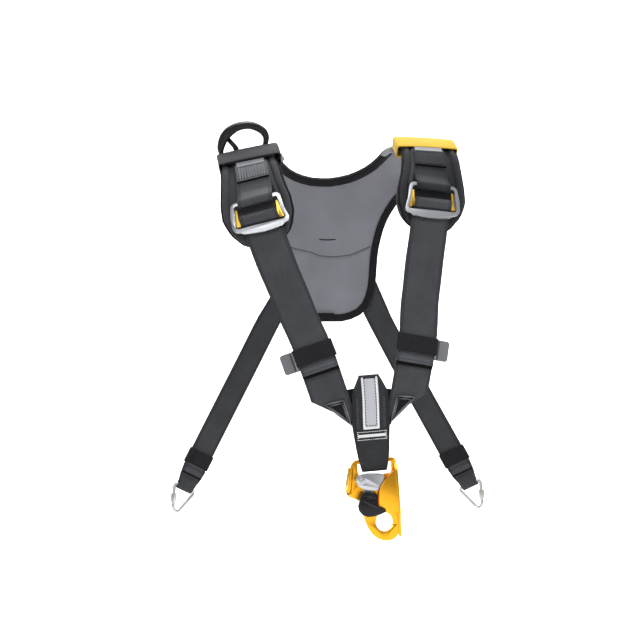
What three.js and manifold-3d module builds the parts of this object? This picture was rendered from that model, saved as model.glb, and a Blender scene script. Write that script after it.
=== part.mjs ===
// Climbing chest harness, as worn: padded back yoke, two padded shoulder straps with
// double-bar buckles, front webbing that meets at a chest ascender, and two rear straps
// with screw links. Millimetres, +Z up, the wearer faces -Y and the wearer's left is +X.
// The origin lies midway between the undersides of the shoulder pads, at their tops.
import * as THREE from "three";
import { mergeVertices } from "three/addons/utils/BufferGeometryUtils.js";
import Module from "manifold-3d";

// Driving dimensions: the body that the harness is worn on
const shoulder_spread = 97;        // middle of each shoulder pad, from the centre plane
const chest_roundness = 385;       // radius by which the harness curves round the body
const shoulder_roundness = 760;    // the same on top of the shoulders
const worn_turn = 4.5 * Math.PI / 180;  // the front and the shoulders hang turned by this
const back_turn_top = -30;         // height on the back above which it is turned in full
const back_turn_end = -190;        // height on the back below which it hangs straight
const chest_depth = 113;           // front of the chest, from the shoulder tops
const back_depth = 100;            // the back at its fullest, from the shoulder tops

// Driving dimensions: webbing and clearances
const gap = 0.35;                  // between touching pieces
const layer_gap = 0.5;             // between a webbing and the curved piece it lies on
const webbing_wall = 1.6;
const main_width = 41;
const shoulder_width = 37;
const rear_width = 27.5;

// Driving dimensions: yoke and bindings
const yoke_wall = 5;               // padded middle
const yoke_edge_wall = 3.4;        // where the binding grips it
const yoke_half_width = 57;        // at the waist of the yoke
const yoke_bottom = -194;
const neck_bottom = -28;
const binding_wall = 1.1;
const binding_reach = 7.5;         // how far the binding covers the edge
const wing_front = -20;            // where the yoke ends on the front of the shoulder

// Driving dimensions: shoulder pads and their bands
const pad_length = 140;            // from the shoulder top to the lower end, along the pad
const pad_width = 76;
const pad_rim_wall = 12;
const pad_middle_wall = 8.6;
const pad_behind = 14;             // how far it reaches behind the shoulder top
const band_width = 26;
const band_wall = 1.4;
const band_middle = -25;           // along the pad from the shoulder top
const band_overhang = 2.5;

// Driving dimensions: buckles
const buckle_height = -67;
const buckle_spread = 94.7;
const buckle_top_width = 54;
const buckle_low_width = 60;
const buckle_side = 33;
const buckle_bow = 5;
const buckle_bar = 3.6;            // thickness of the outer frame
const buckle_side_bar = 3.6;
const buckle_low_bar = 9;
const slider_wall = 3;
const slider_bar = 8;

// Driving dimensions: front webbing
const junction_spread = 42;        // axis of a front strap where it ends
const junction_height = -275;
const tail_end_height = -239;
const keeper_height = -218;
const keeper_width = 18;
const keeper_wall = 1.3;
const tab_width = 17;
const tab_length = 22;
const tab_wall = 2.4;
const strap_outer_end = -266;
const strap_inner_end = -303;
const loop_top = -247;
const loop_bottom = -351;
const label_width = 18;
const label_top = -249;
const label_bottom = -304;
const label_wall = 0.7;

// Driving dimensions: ascender
const plate_wall = 3;
const channel_depth = 15;
const channel_wall = 2.6;
const axle_radius = 3;
const cam_wall = 8;

// Driving dimensions: rear straps and screw links
const rear_cross_height = -65;
const rear_slope = 0.52;           // outward travel for each millimetre down
const rear_end_height = -392;
const rear_keeper_height = -356;
const rear_foldback = 26;
const link_wire = 2.1;
const link_width = 27;
const link_length = 30;
const nut_length = 11;
const nut_radius = 3.9;

// Colours
const finishes = {
  grey_cloth: { color: 0x75757b, roughness: 0.9, metalness: 0 },
  dark_cloth: { color: 0x45464a, roughness: 0.85, metalness: 0 },
  black_cloth: { color: 0x232326, roughness: 0.9, metalness: 0 },
  webbing: { color: 0x414245, roughness: 0.8, metalness: 0 },
  band_grey: { color: 0x5d5d61, roughness: 0.85, metalness: 0 },
  band_yellow: { color: 0xf6cf2a, roughness: 0.6, metalness: 0 },
  label_cloth: { color: 0xcfcfd2, roughness: 0.6, metalness: 0 },
  black_plastic: { color: 0x1c1c1e, roughness: 0.45, metalness: 0 },
  grey_plastic: { color: 0x7a7b7d, roughness: 0.5, metalness: 0 },
  silver: { color: 0xd8d8da, roughness: 0.28, metalness: 1 },
  orange_alloy: { color: 0xf0a01c, roughness: 0.3, metalness: 1 },
  steel: { color: 0xb9bbc0, roughness: 0.3, metalness: 1 },
};

const harness = new THREE.Group();
const wasm = await Module();
wasm.setup();

function add(name, geometry, finish, parent = harness) {
  const material = new THREE.MeshStandardMaterial(finishes[finish]);
  const mesh = new THREE.Mesh(geometry, material);
  mesh.name = name;
  parent.add(mesh);
  return mesh;
}

// The body's side view: points from the shoulder top down the front and down the back,
// as shares of the depth and of the drop named for that side
const front_drop = 350;
const back_drop = 440;
const front_rows = [
  { out: 0, down: 0 },
  { out: 0.19, down: 0.011 },
  { out: 0.39, down: 0.051 },
  { out: 0.55, down: 0.12 },
  { out: 0.655, down: 0.2 },
  { out: 0.745, down: 0.286 },
  { out: 0.85, down: 0.43 },
  { out: 0.93, down: 0.571 },
  { out: 0.98, down: 0.714 },
  { out: 1, down: 0.857 },
  { out: 1, down: 1 },
  { out: 1, down: 1.2 },
];
const back_rows = [
  { out: 0, down: 0 },
  { out: 0.24, down: 0.009 },
  { out: 0.48, down: 0.041 },
  { out: 0.68, down: 0.095 },
  { out: 0.82, down: 0.17 },
  { out: 0.92, down: 0.25 },
  { out: 0.98, down: 0.34 },
  { out: 1, down: 0.455 },
  { out: 0.99, down: 0.6 },
  { out: 0.95, down: 0.77 },
  { out: 0.9, down: 1 },
];
const side_points = [
  ...front_rows.slice(1).reverse().map((r) => [-r.out * chest_depth, -r.down * front_drop]),
  ...back_rows.map((r) => [r.out * back_depth, -r.down * back_drop]),
].map(([y, z]) => new THREE.Vector3(0, y, z));
const side_curve = new THREE.CatmullRomCurve3(side_points, false, "centripetal");
side_curve.arcLengthDivisions = 800;
const side_length = side_curve.getLength();
const path_steps = 1600;
const side_path = side_curve.getSpacedPoints(path_steps);
const top_index = side_path.reduce((best, p, i) => (p.z > side_path[best].z ? i : best), 0);

// Point and outward normal on the side view, s millimetres from the shoulder top,
// negative towards the front
function onSide(s) {
  const at = THREE.MathUtils.clamp(top_index + s / side_length * path_steps, 1, path_steps - 1);
  const i = Math.min(Math.floor(at), path_steps - 2);
  const point = side_path[i].clone().lerp(side_path[i + 1], at - i);
  const before = side_path[Math.max(i - 6, 0)];
  const after = side_path[Math.min(i + 7, path_steps)];
  const along = after.clone().sub(before).normalize();
  return { point, normal: new THREE.Vector3(0, -along.z, along.y) };
}

// Point on the harness: x across, s along the side view, w out from the body
function onBody(x, s, w) {
  const { point, normal } = onSide(s);
  const below = THREE.MathUtils.smoothstep(Math.abs(s), 15, 95);
  const roundness = THREE.MathUtils.lerp(shoulder_roundness, chest_roundness, below);
  const drop = (x * x - shoulder_spread * shoulder_spread) / (2 * roundness);
  const lean = new THREE.Vector3(x / roundness, normal.y, normal.z).normalize();
  return new THREE.Vector3(x, point.y - normal.y * drop, point.z - normal.z * drop)
    .addScaledVector(lean, w);
}

// Distance along the side view at which the body has the height z beside x
function alongAt(side, x, z) {
  let near = 0;
  let far = side * side_length / 2;
  for (let step = 0; step < 40; step += 1) {
    const middle = (near + far) / 2;
    if (onBody(x, middle, 0).z > z) near = middle;
    else far = middle;
  }
  return (near + far) / 2;
}
const FRONT = -1;
const BACK = 1;

// How far the front hangs to one side, as shares of the front drop
const sway_rows = [
  { down: -1, shift: 0 },
  { down: 0, shift: 0 },
  { down: 0.17, shift: -2.4 },
  { down: 0.33, shift: -2.6 },
  { down: 0.47, shift: -0.5 },
  { down: 0.62, shift: 3.4 },
  { down: 0.75, shift: 3.4 },
  { down: 0.88, shift: 1.5 },
  { down: 2, shift: 1.2 },
];
function swayAt(z) {
  const down = -z / front_drop;
  const i = Math.max(1, sway_rows.findIndex((row) => row.down >= down));
  const [above, below] = [sway_rows[i - 1], sway_rows[i]];
  const share = (down - above.down) / (below.down - above.down);
  return THREE.MathUtils.lerp(above.shift, below.shift, THREE.MathUtils.smoothstep(share, 0, 1));
}

// The harness as it hangs: the front and the shoulders turned, the lower back straight
function worn(p) {
  const in_front = THREE.MathUtils.clamp(-p.y / 30, 0, 1);
  const high = THREE.MathUtils.clamp((p.z - back_turn_end) / (back_turn_top - back_turn_end), 0, 1);
  const turn = worn_turn * Math.max(in_front, high);
  const x = p.x + swayAt(p.z) * in_front;
  const [c, s] = [Math.cos(turn), Math.sin(turn)];
  return new THREE.Vector3(x * c - p.z * s, p.y, x * s + p.z * c);
}

// Closed geometry from corner points and triangles, faces turned outwards
function closedGeometry(corners, faces) {
  const positions = new Float32Array(corners.flatMap((p) => [p.x, p.y, p.z]));
  let volume = 0;
  for (const [a, b, c] of faces) {
    volume += corners[a].dot(corners[b].clone().cross(corners[c]));
  }
  const turned = volume < 0 ? faces.map(([a, b, c]) => [a, c, b]) : faces;
  const geometry = new THREE.BufferGeometry();
  geometry.setAttribute("position", new THREE.BufferAttribute(positions, 3));
  geometry.setIndex(turned.flat());
  geometry.computeVertexNormals();
  return geometry;
}

// Loft through sections of equal numbers of points; a section is one closed ring, and
// the ends are closed as a strip from its first half to its second half
function loft(sections, loop = false) {
  const count = sections[0].length;
  const corners = sections.flat();
  const faces = [];
  const spans = loop ? sections.length : sections.length - 1;
  for (let i = 0; i < spans; i += 1) {
    const near = i * count;
    const far = ((i + 1) % sections.length) * count;
    for (let j = 0; j < count; j += 1) {
      const k = (j + 1) % count;
      faces.push([near + j, near + k, far + k], [near + j, far + k, far + j]);
    }
  }
  if (!loop) {
    for (const [start, flip] of [[0, true], [(sections.length - 1) * count, false]]) {
      for (let j = 0; j < count / 2 - 1; j += 1) {
        const [a, b] = [start + j, start + j + 1];
        const [c, d] = [start + count - 2 - j, start + count - 1 - j];
        const quad = [[a, b, c], [a, c, d]];
        for (const [p, q, r] of quad) {
          if (p !== q && q !== r && p !== r) faces.push(flip ? [p, r, q] : [p, q, r]);
        }
      }
    }
  }
  return closedGeometry(corners, faces);
}

// Flat sheet given as 2-D points and triangles, with an under and an over surface
function thickSheet(points, triangles, under, over) {
  const count = points.length;
  const corners = [...points.map(under), ...points.map(over)];
  const faces = [];
  const edges = new Map();
  for (const [a, b, c] of triangles) {
    faces.push([a, c, b], [a + count, b + count, c + count]);
    for (const [p, q] of [[a, b], [b, c], [c, a]]) {
      if (edges.has(`${q}_${p}`)) edges.delete(`${q}_${p}`);
      else edges.set(`${p}_${q}`, [p, q]);
    }
  }
  for (const [p, q] of edges.values()) {
    faces.push([p, q, q + count], [p, q + count, p + count]);
  }
  return closedGeometry(corners, faces);
}

// Webbing along a path: path gives [along, out] on the webbing's middle, place turns
// along, across and out into a point, and half gives half the width at a distance along
function webbing(path, wall, place, half, columns = 3, closed = false) {
  const count = path.length;
  const sections = path.map(([l, w], i) => {
    const [l0, w0] = path[closed ? (i + count - 1) % count : Math.max(i - 1, 0)];
    const [l1, w1] = path[closed ? (i + 1) % count : Math.min(i + 1, count - 1)];
    const size = Math.hypot(l1 - l0, w1 - w0);
    const side = [-(w1 - w0) / size * wall / 2, (l1 - l0) / size * wall / 2];
    const width = half(l);
    const row = (sign) => Array.from({ length: columns }, (_, column) => {
      const across = (column / (columns - 1) * 2 - 1) * width;
      return worn(place(l + sign * side[0], across, w + sign * side[1]));
    });
    return [...row(-1), ...row(1).reverse()];
  });
  return loft(sections, closed);
}

// Even steps from one number to another
const spread = (from, to, steps) => (
  Array.from({ length: steps + 1 }, (_, i) => from + (to - from) * i / steps)
);

// Band round a strap or pad: ring gives [across, out] on the band's middle, in order
function bandRound(ring, wall, from, to, place, steps = 1) {
  const along = spread(from, to, steps);
  const sections = ring.map(([t, w], i) => {
    const [t0, w0] = ring[(i + ring.length - 1) % ring.length];
    const [t1, w1] = ring[(i + 1) % ring.length];
    const size = Math.hypot(t1 - t0, w1 - w0);
    const side = [(w1 - w0) / size * wall / 2, -(t1 - t0) / size * wall / 2];
    const inner = [t - side[0], w - side[1]];
    const outer = [t + side[0], w + side[1]];
    return [
      ...along.map((l) => place(l, ...inner)),
      ...along.slice().reverse().map((l) => place(l, ...outer)),
    ].map(worn);
  });
  return loft(sections, true);
}

// Rounded rectangle round a strap's section, as [across, out] points
function ringPoints(half, low, high, radius, steps = 3, flats = 4) {
  const ring = [];
  const corners = [
    { t: half - radius, w: low + radius, start: -Math.PI / 2 },
    { t: half - radius, w: high - radius, start: 0 },
    { t: radius - half, w: high - radius, start: Math.PI / 2 },
    { t: radius - half, w: low + radius, start: Math.PI },
  ];
  corners.forEach(({ t, w, start }, i) => {
    for (let step = 0; step <= steps; step += 1) {
      const angle = start + step / steps * Math.PI / 2;
      ring.push([t + radius * Math.cos(angle), w + radius * Math.sin(angle)]);
    }
    const next = corners[(i + 1) % 4];
    if (next.w === w) {
      const [t0, w0] = ring[ring.length - 1];
      const t1 = next.t;
      for (let flat = 1; flat < flats; flat += 1) ring.push([t0 + (t1 - t0) * flat / flats, w0]);
    }
  });
  return ring;
}

// Smooth open curve through [a, b] rows, sampled evenly
function smooth(rows, steps) {
  const curve = new THREE.SplineCurve(rows.map(([a, b]) => new THREE.Vector2(a, b)));
  return curve.getSpacedPoints(steps).map((p) => [p.x, p.y]);
}

// Arc of [along, out] points round a bar
function arc(l, w, radius, start, end, steps) {
  return Array.from({ length: steps + 1 }, (_, i) => {
    const angle = start + (end - start) * i / steps;
    return [l + radius * Math.cos(angle), w + radius * Math.sin(angle)];
  });
}

// Back yoke: rows run from the waist up to the wings, from the centre or the neckline
// out to the armhole, as shares of half the waist's width and of the yoke's drop
const armhole_rows = [
  { across: 0.36, down: 1 },
  { across: 0.63, down: 0.978 },
  { across: 0.83, down: 0.935 },
  { across: 0.94, down: 0.87 },
  { across: 0.99, down: 0.79 },
  { across: 1, down: 0.69 },
  { across: 1.01, down: 0.6 },
  { across: 1.055, down: 0.515 },
  { across: 1.16, down: 0.41 },
  { across: 1.35, down: 0.315 },
  { across: 1.62, down: 0.232 },
  { across: 1.9, down: 0.155 },
];
const neckline_rows = [
  { across: 0, down: 0.142 },
  { across: 0.35, down: 0.132 },
  { across: 0.66, down: 0.103 },
  { across: 0.89, down: 0.064 },
  { across: 1.05, down: 0.018 },
];
const toPlan = (row) => {
  const x = row.across * yoke_half_width;
  return [x, alongAt(BACK, x, yoke_bottom * row.down)];
};
const wing_inner = 68;
const wing_outer = 131;
const neck_plan = smooth([
  ...neckline_rows.map(toPlan), [wing_inner - 2, 14], [wing_inner, 0], [wing_inner + 1, wing_front],
], 12);
const armhole_plan = smooth([
  ...armhole_rows.map(toPlan), [wing_outer - 3, 16], [wing_outer - 1, 0], [wing_outer, wing_front],
], 26);
const centre_count = armhole_plan.length - neck_plan.length;
const waist_s = alongAt(BACK, 0, yoke_bottom);
const centre_plan = Array.from({ length: centre_count }, (_, i) => (
  [0, THREE.MathUtils.lerp(waist_s, neck_plan[0][1], i / centre_count)]
));
const inner_plan = [...centre_plan, ...neck_plan];
const body_edge = [
  ...[...armhole_plan].reverse().map(([x, s]) => [-x, s]), [0, waist_s], ...armhole_plan,
];
const neck_edge = [...[...neck_plan].reverse().map(([x, s]) => [-x, s]), ...neck_plan.slice(1)];

function distanceTo(edge, x, s) {
  let nearest = Infinity;
  for (let i = 1; i < edge.length; i += 1) {
    const [[x0, s0], [x1, s1]] = [edge[i - 1], edge[i]];
    const span = (x1 - x0) ** 2 + (s1 - s0) ** 2;
    const share = THREE.MathUtils.clamp(((x - x0) * (x1 - x0) + (s - s0) * (s1 - s0)) / span, 0, 1);
    nearest = Math.min(nearest, Math.hypot(x0 + share * (x1 - x0) - x, s0 + share * (s1 - s0) - s));
  }
  return nearest;
}

function yokeWall(x, s) {
  const inside = Math.min(distanceTo(body_edge, x, s), distanceTo(neck_edge, x, s));
  const fill = THREE.MathUtils.smoothstep(inside, binding_reach + 2, 2.6 * binding_reach);
  const on_shoulder = THREE.MathUtils.smoothstep(s, 8, 40);
  return yoke_edge_wall + (yoke_wall - yoke_edge_wall) * fill * on_shoulder;
}

const yoke_columns = 6;
const yoke_points = [];
const yoke_faces = [];
for (const side of [1, -1]) {
  const start = yoke_points.length;
  inner_plan.forEach(([x0, s0], row) => {
    const [x1, s1] = armhole_plan[row];
    for (let column = 0; column <= yoke_columns; column += 1) {
      const share = column / yoke_columns;
      yoke_points.push([side * THREE.MathUtils.lerp(x0, x1, share), THREE.MathUtils.lerp(s0, s1, share)]);
    }
  });
  const at = (row, column) => (
    side < 0 && column === 0 && row <= centre_count
      ? row * (yoke_columns + 1)
      : start + row * (yoke_columns + 1) + column
  );
  for (let row = 0; row < inner_plan.length - 1; row += 1) {
    for (let column = 0; column < yoke_columns; column += 1) {
      const [a, b] = [at(row, column), at(row, column + 1)];
      const [c, d] = [at(row + 1, column + 1), at(row + 1, column)];
      const quad = [[a, b, c], [a, c, d]];
      for (const [p, q, r] of quad) yoke_faces.push(side > 0 ? [p, q, r] : [p, r, q]);
    }
  }
}
const used = [...new Set(yoke_faces.flat())];
const place_of = new Map(used.map((old, i) => [old, i]));
add("back_yoke", thickSheet(
  used.map((i) => yoke_points[i]),
  yoke_faces.map((face) => face.map((i) => place_of.get(i))),
  ([x, s]) => worn(onBody(x, s, 0)),
  ([x, s]) => worn(onBody(x, s, yokeWall(x, s))),
), "grey_cloth");

// Bindings: tape folded over the yoke's edges
function binding(edge) {
  const sections = edge.map(([x, s], i) => {
    const [x0, s0] = edge[Math.max(i - 1, 0)];
    const [x1, s1] = edge[Math.min(i + 1, edge.length - 1)];
    const size = Math.hypot(x1 - x0, s1 - s0);
    const inward = [-(s1 - s0) / size, (x1 - x0) / size];
    const low = -gap;
    const high = yoke_edge_wall + 2 * gap;
    const fold = [
      [binding_reach, low - binding_wall], [0, low - binding_wall], [-gap - binding_wall, low],
      [-gap - binding_wall, high], [0, high + binding_wall], [binding_reach, high + binding_wall],
      [binding_reach, high], [0, high], [-gap, high - gap],
      [-gap, low + gap], [0, low], [binding_reach, low],
    ];
    return fold.map(([d, w]) => worn(onBody(x + inward[0] * d, s + inward[1] * d, w)));
  });
  return loft(sections);
}
const behind_band = (edge) => edge.filter(([, s]) => s > 17);
add("neck_binding", binding(behind_band(neck_edge)), "black_cloth");
add("body_binding", binding(behind_band(body_edge).reverse()), "black_cloth");
const tab_half = 11;
const tab_out = -gap - binding_wall - layer_gap - webbing_wall / 2;
add("waist_tab", webbing(
  [[waist_s - 9, tab_out], [waist_s - 4, tab_out], [waist_s + 1, tab_out]],
  webbing_wall,
  (l, t, w) => onBody(t, l, w),
  () => tab_half,
), "black_cloth");

// Shoulder pads: inner and outer edge from the top down, as shares of the pad's width
// from its middle and of its length
const pad_rows = [
  { along: -pad_behind / pad_length, inner: -0.31, outer: 0.45 },
  { along: 0, inner: -0.32, outer: 0.455 },
  { along: 0.25, inner: -0.34, outer: 0.46 },
  { along: 0.49, inner: -0.41, outer: 0.47 },
  { along: 0.65, inner: -0.5, outer: 0.48 },
  { along: 0.78, inner: -0.52, outer: 0.46 },
  { along: 0.87, inner: -0.47, outer: 0.38 },
  { along: 0.94, inner: -0.36, outer: 0.27 },
  { along: 0.985, inner: -0.2, outer: 0.13 },
  { along: 1, inner: -0.08, outer: 0.02 },
];
const pad_inner = smooth(pad_rows.map((r) => [
  shoulder_spread + r.inner * pad_width, -r.along * pad_length,
]), 20);
const pad_outer = smooth(pad_rows.map((r) => [
  shoulder_spread + r.outer * pad_width, -r.along * pad_length,
]), 20);
const pad_columns = [0, 0.045, 0.1, 0.15, 0.2, 0.5, 0.8, 0.85, 0.9, 0.955, 1];
const pad_under = yoke_edge_wall + gap + layer_gap;

function padUnder(s) {
  return pad_under * THREE.MathUtils.smoothstep(s, wing_front - 26, wing_front - 4);
}
function padOver(x, s) {
  const inside = Math.min(distanceTo(pad_inner, x, s), distanceTo(pad_outer, x, s));
  const fade = THREE.MathUtils.smoothstep(-s, 0.7 * pad_length, 0.87 * pad_length);
  const rim = THREE.MathUtils.lerp(pad_rim_wall, pad_middle_wall, fade);
  const rise = THREE.MathUtils.smoothstep(inside, -1.5, 3.5);
  const fall = THREE.MathUtils.smoothstep(inside, 5.5, 8.5);
  const edge = pad_under + 1.6;
  return THREE.MathUtils.lerp(THREE.MathUtils.lerp(edge, rim, rise), pad_middle_wall, fall);
}
function shoulderPad(side) {
  const sections = pad_inner.map(([x0, s0], i) => {
    const [x1, s1] = pad_outer[i];
    const row = pad_columns.map((share) => (
      [THREE.MathUtils.lerp(x0, x1, share), THREE.MathUtils.lerp(s0, s1, share)]
    ));
    return [
      ...row.map(([x, s]) => worn(onBody(side * x, s, padUnder(s)))),
      ...row.reverse().map(([x, s]) => worn(onBody(side * x, s, padOver(x, s)))),
    ];
  });
  return loft(sections);
}

// The front webbing's plan: a point l millimetres from the shoulder top, t outwards
const buckle_along = -alongAt(FRONT, buckle_spread, buckle_height);
const junction_along = -alongAt(FRONT, junction_spread, junction_height);
const strap_slope = (buckle_spread - junction_spread) / (junction_along - buckle_along);
const strap_angle = Math.atan(strap_slope);
const shoulder_slope = 0.07;
const bar_top_along = buckle_along - buckle_side / 2;
const frontPlace = (side) => (l, t, w) => {
  const slope = l < buckle_along ? shoulder_slope : strap_slope;
  const centre = buckle_spread + slope * (buckle_along - l);
  const at_bar = THREE.MathUtils.smoothstep(l, 0.3 * bar_top_along, bar_top_along);
  const below = THREE.MathUtils.smoothstep(l, buckle_along + buckle_side / 2 + 6, pad_length + 15);
  const turn = strap_angle * (0.4 * at_bar + 0.6 * below);
  return onBody(side * (centre + t * Math.cos(turn)), -l - t * Math.sin(turn), w);
};
const alongFront = (x, z) => -alongAt(FRONT, x, z);
const strapAlong = (z) => alongFront(junction_spread, z);

// Heights of the layers over the body, on the middle of each webbing
const on_yoke = yoke_wall + layer_gap + gap + webbing_wall / 2;
const on_pad = pad_middle_wall + layer_gap + webbing_wall / 2;
const layer = webbing_wall + gap + 0.1;
const frame_under = on_pad + layer + webbing_wall / 2 + 3 * gap;
const frame_middle = frame_under + buckle_bar / 2;
const fold_radius = Math.SQRT1_2 * buckle_bar + gap + webbing_wall / 2;
const slider_fold = Math.SQRT1_2 * slider_wall + gap + webbing_wall / 2;
const slider_middle = on_pad + slider_fold;
const slider_under = slider_middle - slider_wall / 2;
const slider_along = buckle_along + 3;

// Shoulder webbing: from the back of the wing over the pad, round the buckle's top bar
// and back up on itself
const shoulder_end = 46;
const shoulder_path = [
  [-58, on_yoke], [-44, on_yoke], [-32, on_yoke], [-pad_behind - 9, on_yoke + 0.6],
  [-pad_behind - 4, on_pad - 1.6], [-pad_behind, on_pad + 0.3], [-pad_behind + 6, on_pad],
  ...[0, 8, 16, 24, 32, 40, 48, 56, 62, 68].map((l) => [l, on_pad]),
  [bar_top_along - 12, on_pad + 0.4],
  ...arc(bar_top_along, frame_middle, fold_radius, -Math.PI / 2, 0.75 * Math.PI, 10),
  [bar_top_along - 7.5, on_pad + layer + 2], [bar_top_along - 13, on_pad + layer + 0.4],
  [shoulder_end + 12, on_pad + layer], [shoulder_end, on_pad + layer],
];

// Main webbing: up from the junction behind the buckle, over the slider's bar and down
// in front of itself as the tail
const strand_low = 3;              // where it is sewn in at the junction
const strand_mid = 5;              // along the chest
const strap_end = (strapAlong(strap_outer_end) + strapAlong(strap_inner_end)) / 2;
const end_skew = (strapAlong(strap_inner_end) - strapAlong(strap_outer_end)) / main_width;
const tail_along = strapAlong(tail_end_height);
const below_pad = pad_length + 4;
const strandOut = (l) => {
  const drop = THREE.MathUtils.smoothstep(l, below_pad, below_pad + 70);
  const sewn = THREE.MathUtils.smoothstep(l, tail_along + 4, tail_along + 26);
  return THREE.MathUtils.lerp(THREE.MathUtils.lerp(on_pad, strand_mid, drop), strand_low, sewn);
};
const low_bar_top = buckle_along + buckle_side / 2 - buckle_low_bar / 2;
const strap_path = [
  ...spread(strap_end, slider_along, 22).map((l) => [l, strandOut(l)]),
  ...arc(slider_along - slider_bar / 2 + slider_wall / 2, slider_middle, slider_fold,
    -Math.PI / 2, -3 * Math.PI / 2, 8),
  [slider_along + slider_bar / 2 + 1.6, slider_middle + slider_fold],
  [low_bar_top - 2.6, on_pad + layer + 0.1],
  ...spread(low_bar_top + 4, tail_along, 14).map((l) => [l, strandOut(l) + layer]),
];
const strapPlace = (side) => (l, t, w) => {
  const skew = end_skew * THREE.MathUtils.smoothstep(l, strap_end - 30, strap_end);
  return frontPlace(side)(l - t * skew, t, w);
};

// A flat shape mapped on to the strap: shape x is across, y is down the strap
function onStrap(shape, depth, under, place) {
  const flat = new THREE.ExtrudeGeometry(shape, { depth, bevelEnabled: false, curveSegments: 8 });
  flat.deleteAttribute("normal");
  flat.deleteAttribute("uv");
  const merged = mergeVertices(flat);
  const at = merged.getAttribute("position");
  const corners = Array.from({ length: at.count }, (_, i) => (
    worn(place(at.getY(i), at.getX(i), under + at.getZ(i)))
  ));
  const index = Array.from(merged.index.array);
  const faces = Array.from({ length: index.length / 3 }, (_, i) => index.slice(3 * i, 3 * i + 3));
  return closedGeometry(corners, faces);
}

// Outline of the buckle's frame: narrower at the top, with a bowed lower bar
function frameOutline(inset, low_inset, radius) {
  const top = buckle_top_width / 2 - inset;
  const low = buckle_low_width / 2 - inset;
  const high = -buckle_side / 2 - buckle_bar / 2 + inset;
  const foot = buckle_side / 2 + buckle_low_bar / 2 - low_inset;
  const bow = inset > 0 ? 0 : buckle_bow;
  const points = [];
  const corner = (x, y, start) => {
    for (let i = 0; i <= 4; i += 1) {
      const angle = start + i / 4 * Math.PI / 2;
      points.push([x + radius * Math.cos(angle), y + radius * Math.sin(angle)]);
    }
  };
  for (const share of [-0.6, -0.2, 0.2, 0.6]) points.push([share * top, high]);
  corner(top - radius, high + radius, -Math.PI / 2);
  points.push([(top + low) / 2, (high + foot - bow) / 2]);
  corner(low - radius, foot - bow - radius, 0);
  for (const share of [0.66, 0.33, 0, -0.33, -0.66]) {
    points.push([share * low, foot - bow * share * share]);
  }
  corner(radius - low, foot - bow - radius, Math.PI / 2);
  points.push([-(top + low) / 2, (high + foot - bow) / 2]);
  corner(radius - top, high + radius, Math.PI);
  return points.map(([x, y]) => new THREE.Vector2(x, buckle_along + y));
}
const buckle_shape = new THREE.Shape(frameOutline(0, 0, 6));
buckle_shape.holes.push(new THREE.Path(
  frameOutline(buckle_side_bar, buckle_low_bar, 3).reverse(),
));

// Slider: a cross bar between two arms that fill the frame's sides
const arm_inner = main_width / 2 + gap;
const arm_high = buckle_along - buckle_side / 2 + 5.5;
const arm_low = low_bar_top - 3.4;
const armOuter = (l) => {
  const share = (l - arm_high) / (low_bar_top - 3 - arm_high);
  const half = THREE.MathUtils.lerp(buckle_top_width, buckle_low_width, share) / 2;
  return half - buckle_side_bar - 3 * gap;
};
const slider_high = slider_along - slider_bar / 2;
const slider_low = slider_along + slider_bar / 2;
const slider_shape = new THREE.Shape([
  [-armOuter(arm_high), arm_high], [-arm_inner, arm_high], [-arm_inner, slider_high],
  [0, slider_high], [arm_inner, slider_high], [arm_inner, arm_high],
  [armOuter(arm_high), arm_high], [armOuter(arm_low), arm_low], [arm_inner, arm_low],
  [arm_inner, slider_low], [0, slider_low], [-arm_inner, slider_low], [-arm_inner, arm_low],
  [-armOuter(arm_low), arm_low],
].map(([x, y]) => new THREE.Vector2(x, y)));

// Keeper and tab
const keeper_along = strapAlong(keeper_height);
const keeper_low = strandOut(keeper_along) - webbing_wall / 2 - layer_gap;
const keeper_high = strandOut(keeper_along) + layer + webbing_wall / 2 + layer_gap;
const keeper_ring = ringPoints(
  main_width / 2 + 2 * gap + keeper_wall / 2, keeper_low - keeper_wall / 2,
  keeper_high + keeper_wall / 2, 1.4,
);
const tab_under = keeper_low - keeper_wall - gap - tab_wall;
const tab_outer = main_width / 2 + tab_width;
const tab_high = keeper_along - 9;
const tab_shape = new THREE.Shape([
  [4, tab_high], [main_width / 2, tab_high], [tab_outer - 2, tab_high], [tab_outer, tab_high + 2],
  [tab_outer, tab_high + tab_length - 2], [tab_outer - 2, tab_high + tab_length],
  [main_width / 2, tab_high + tab_length], [4, tab_high + tab_length],
].map(([x, y]) => new THREE.Vector2(x, y)));

// Gusset: a sewn triangle over the strap's end
const gusset_wall = 1;
const gusset_rows = [
  { across: 1.2, height: -274.5 },
  { across: 0.69, height: -271 },
  { across: 0.49, height: -301 },
];
const gusset_points = gusset_rows.map((r) => [
  r.across * junction_spread, -alongFront(r.across * junction_spread, r.height),
]);
const gusset_under = strand_low + webbing_wall / 2 + layer_gap + 0.2;

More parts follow.
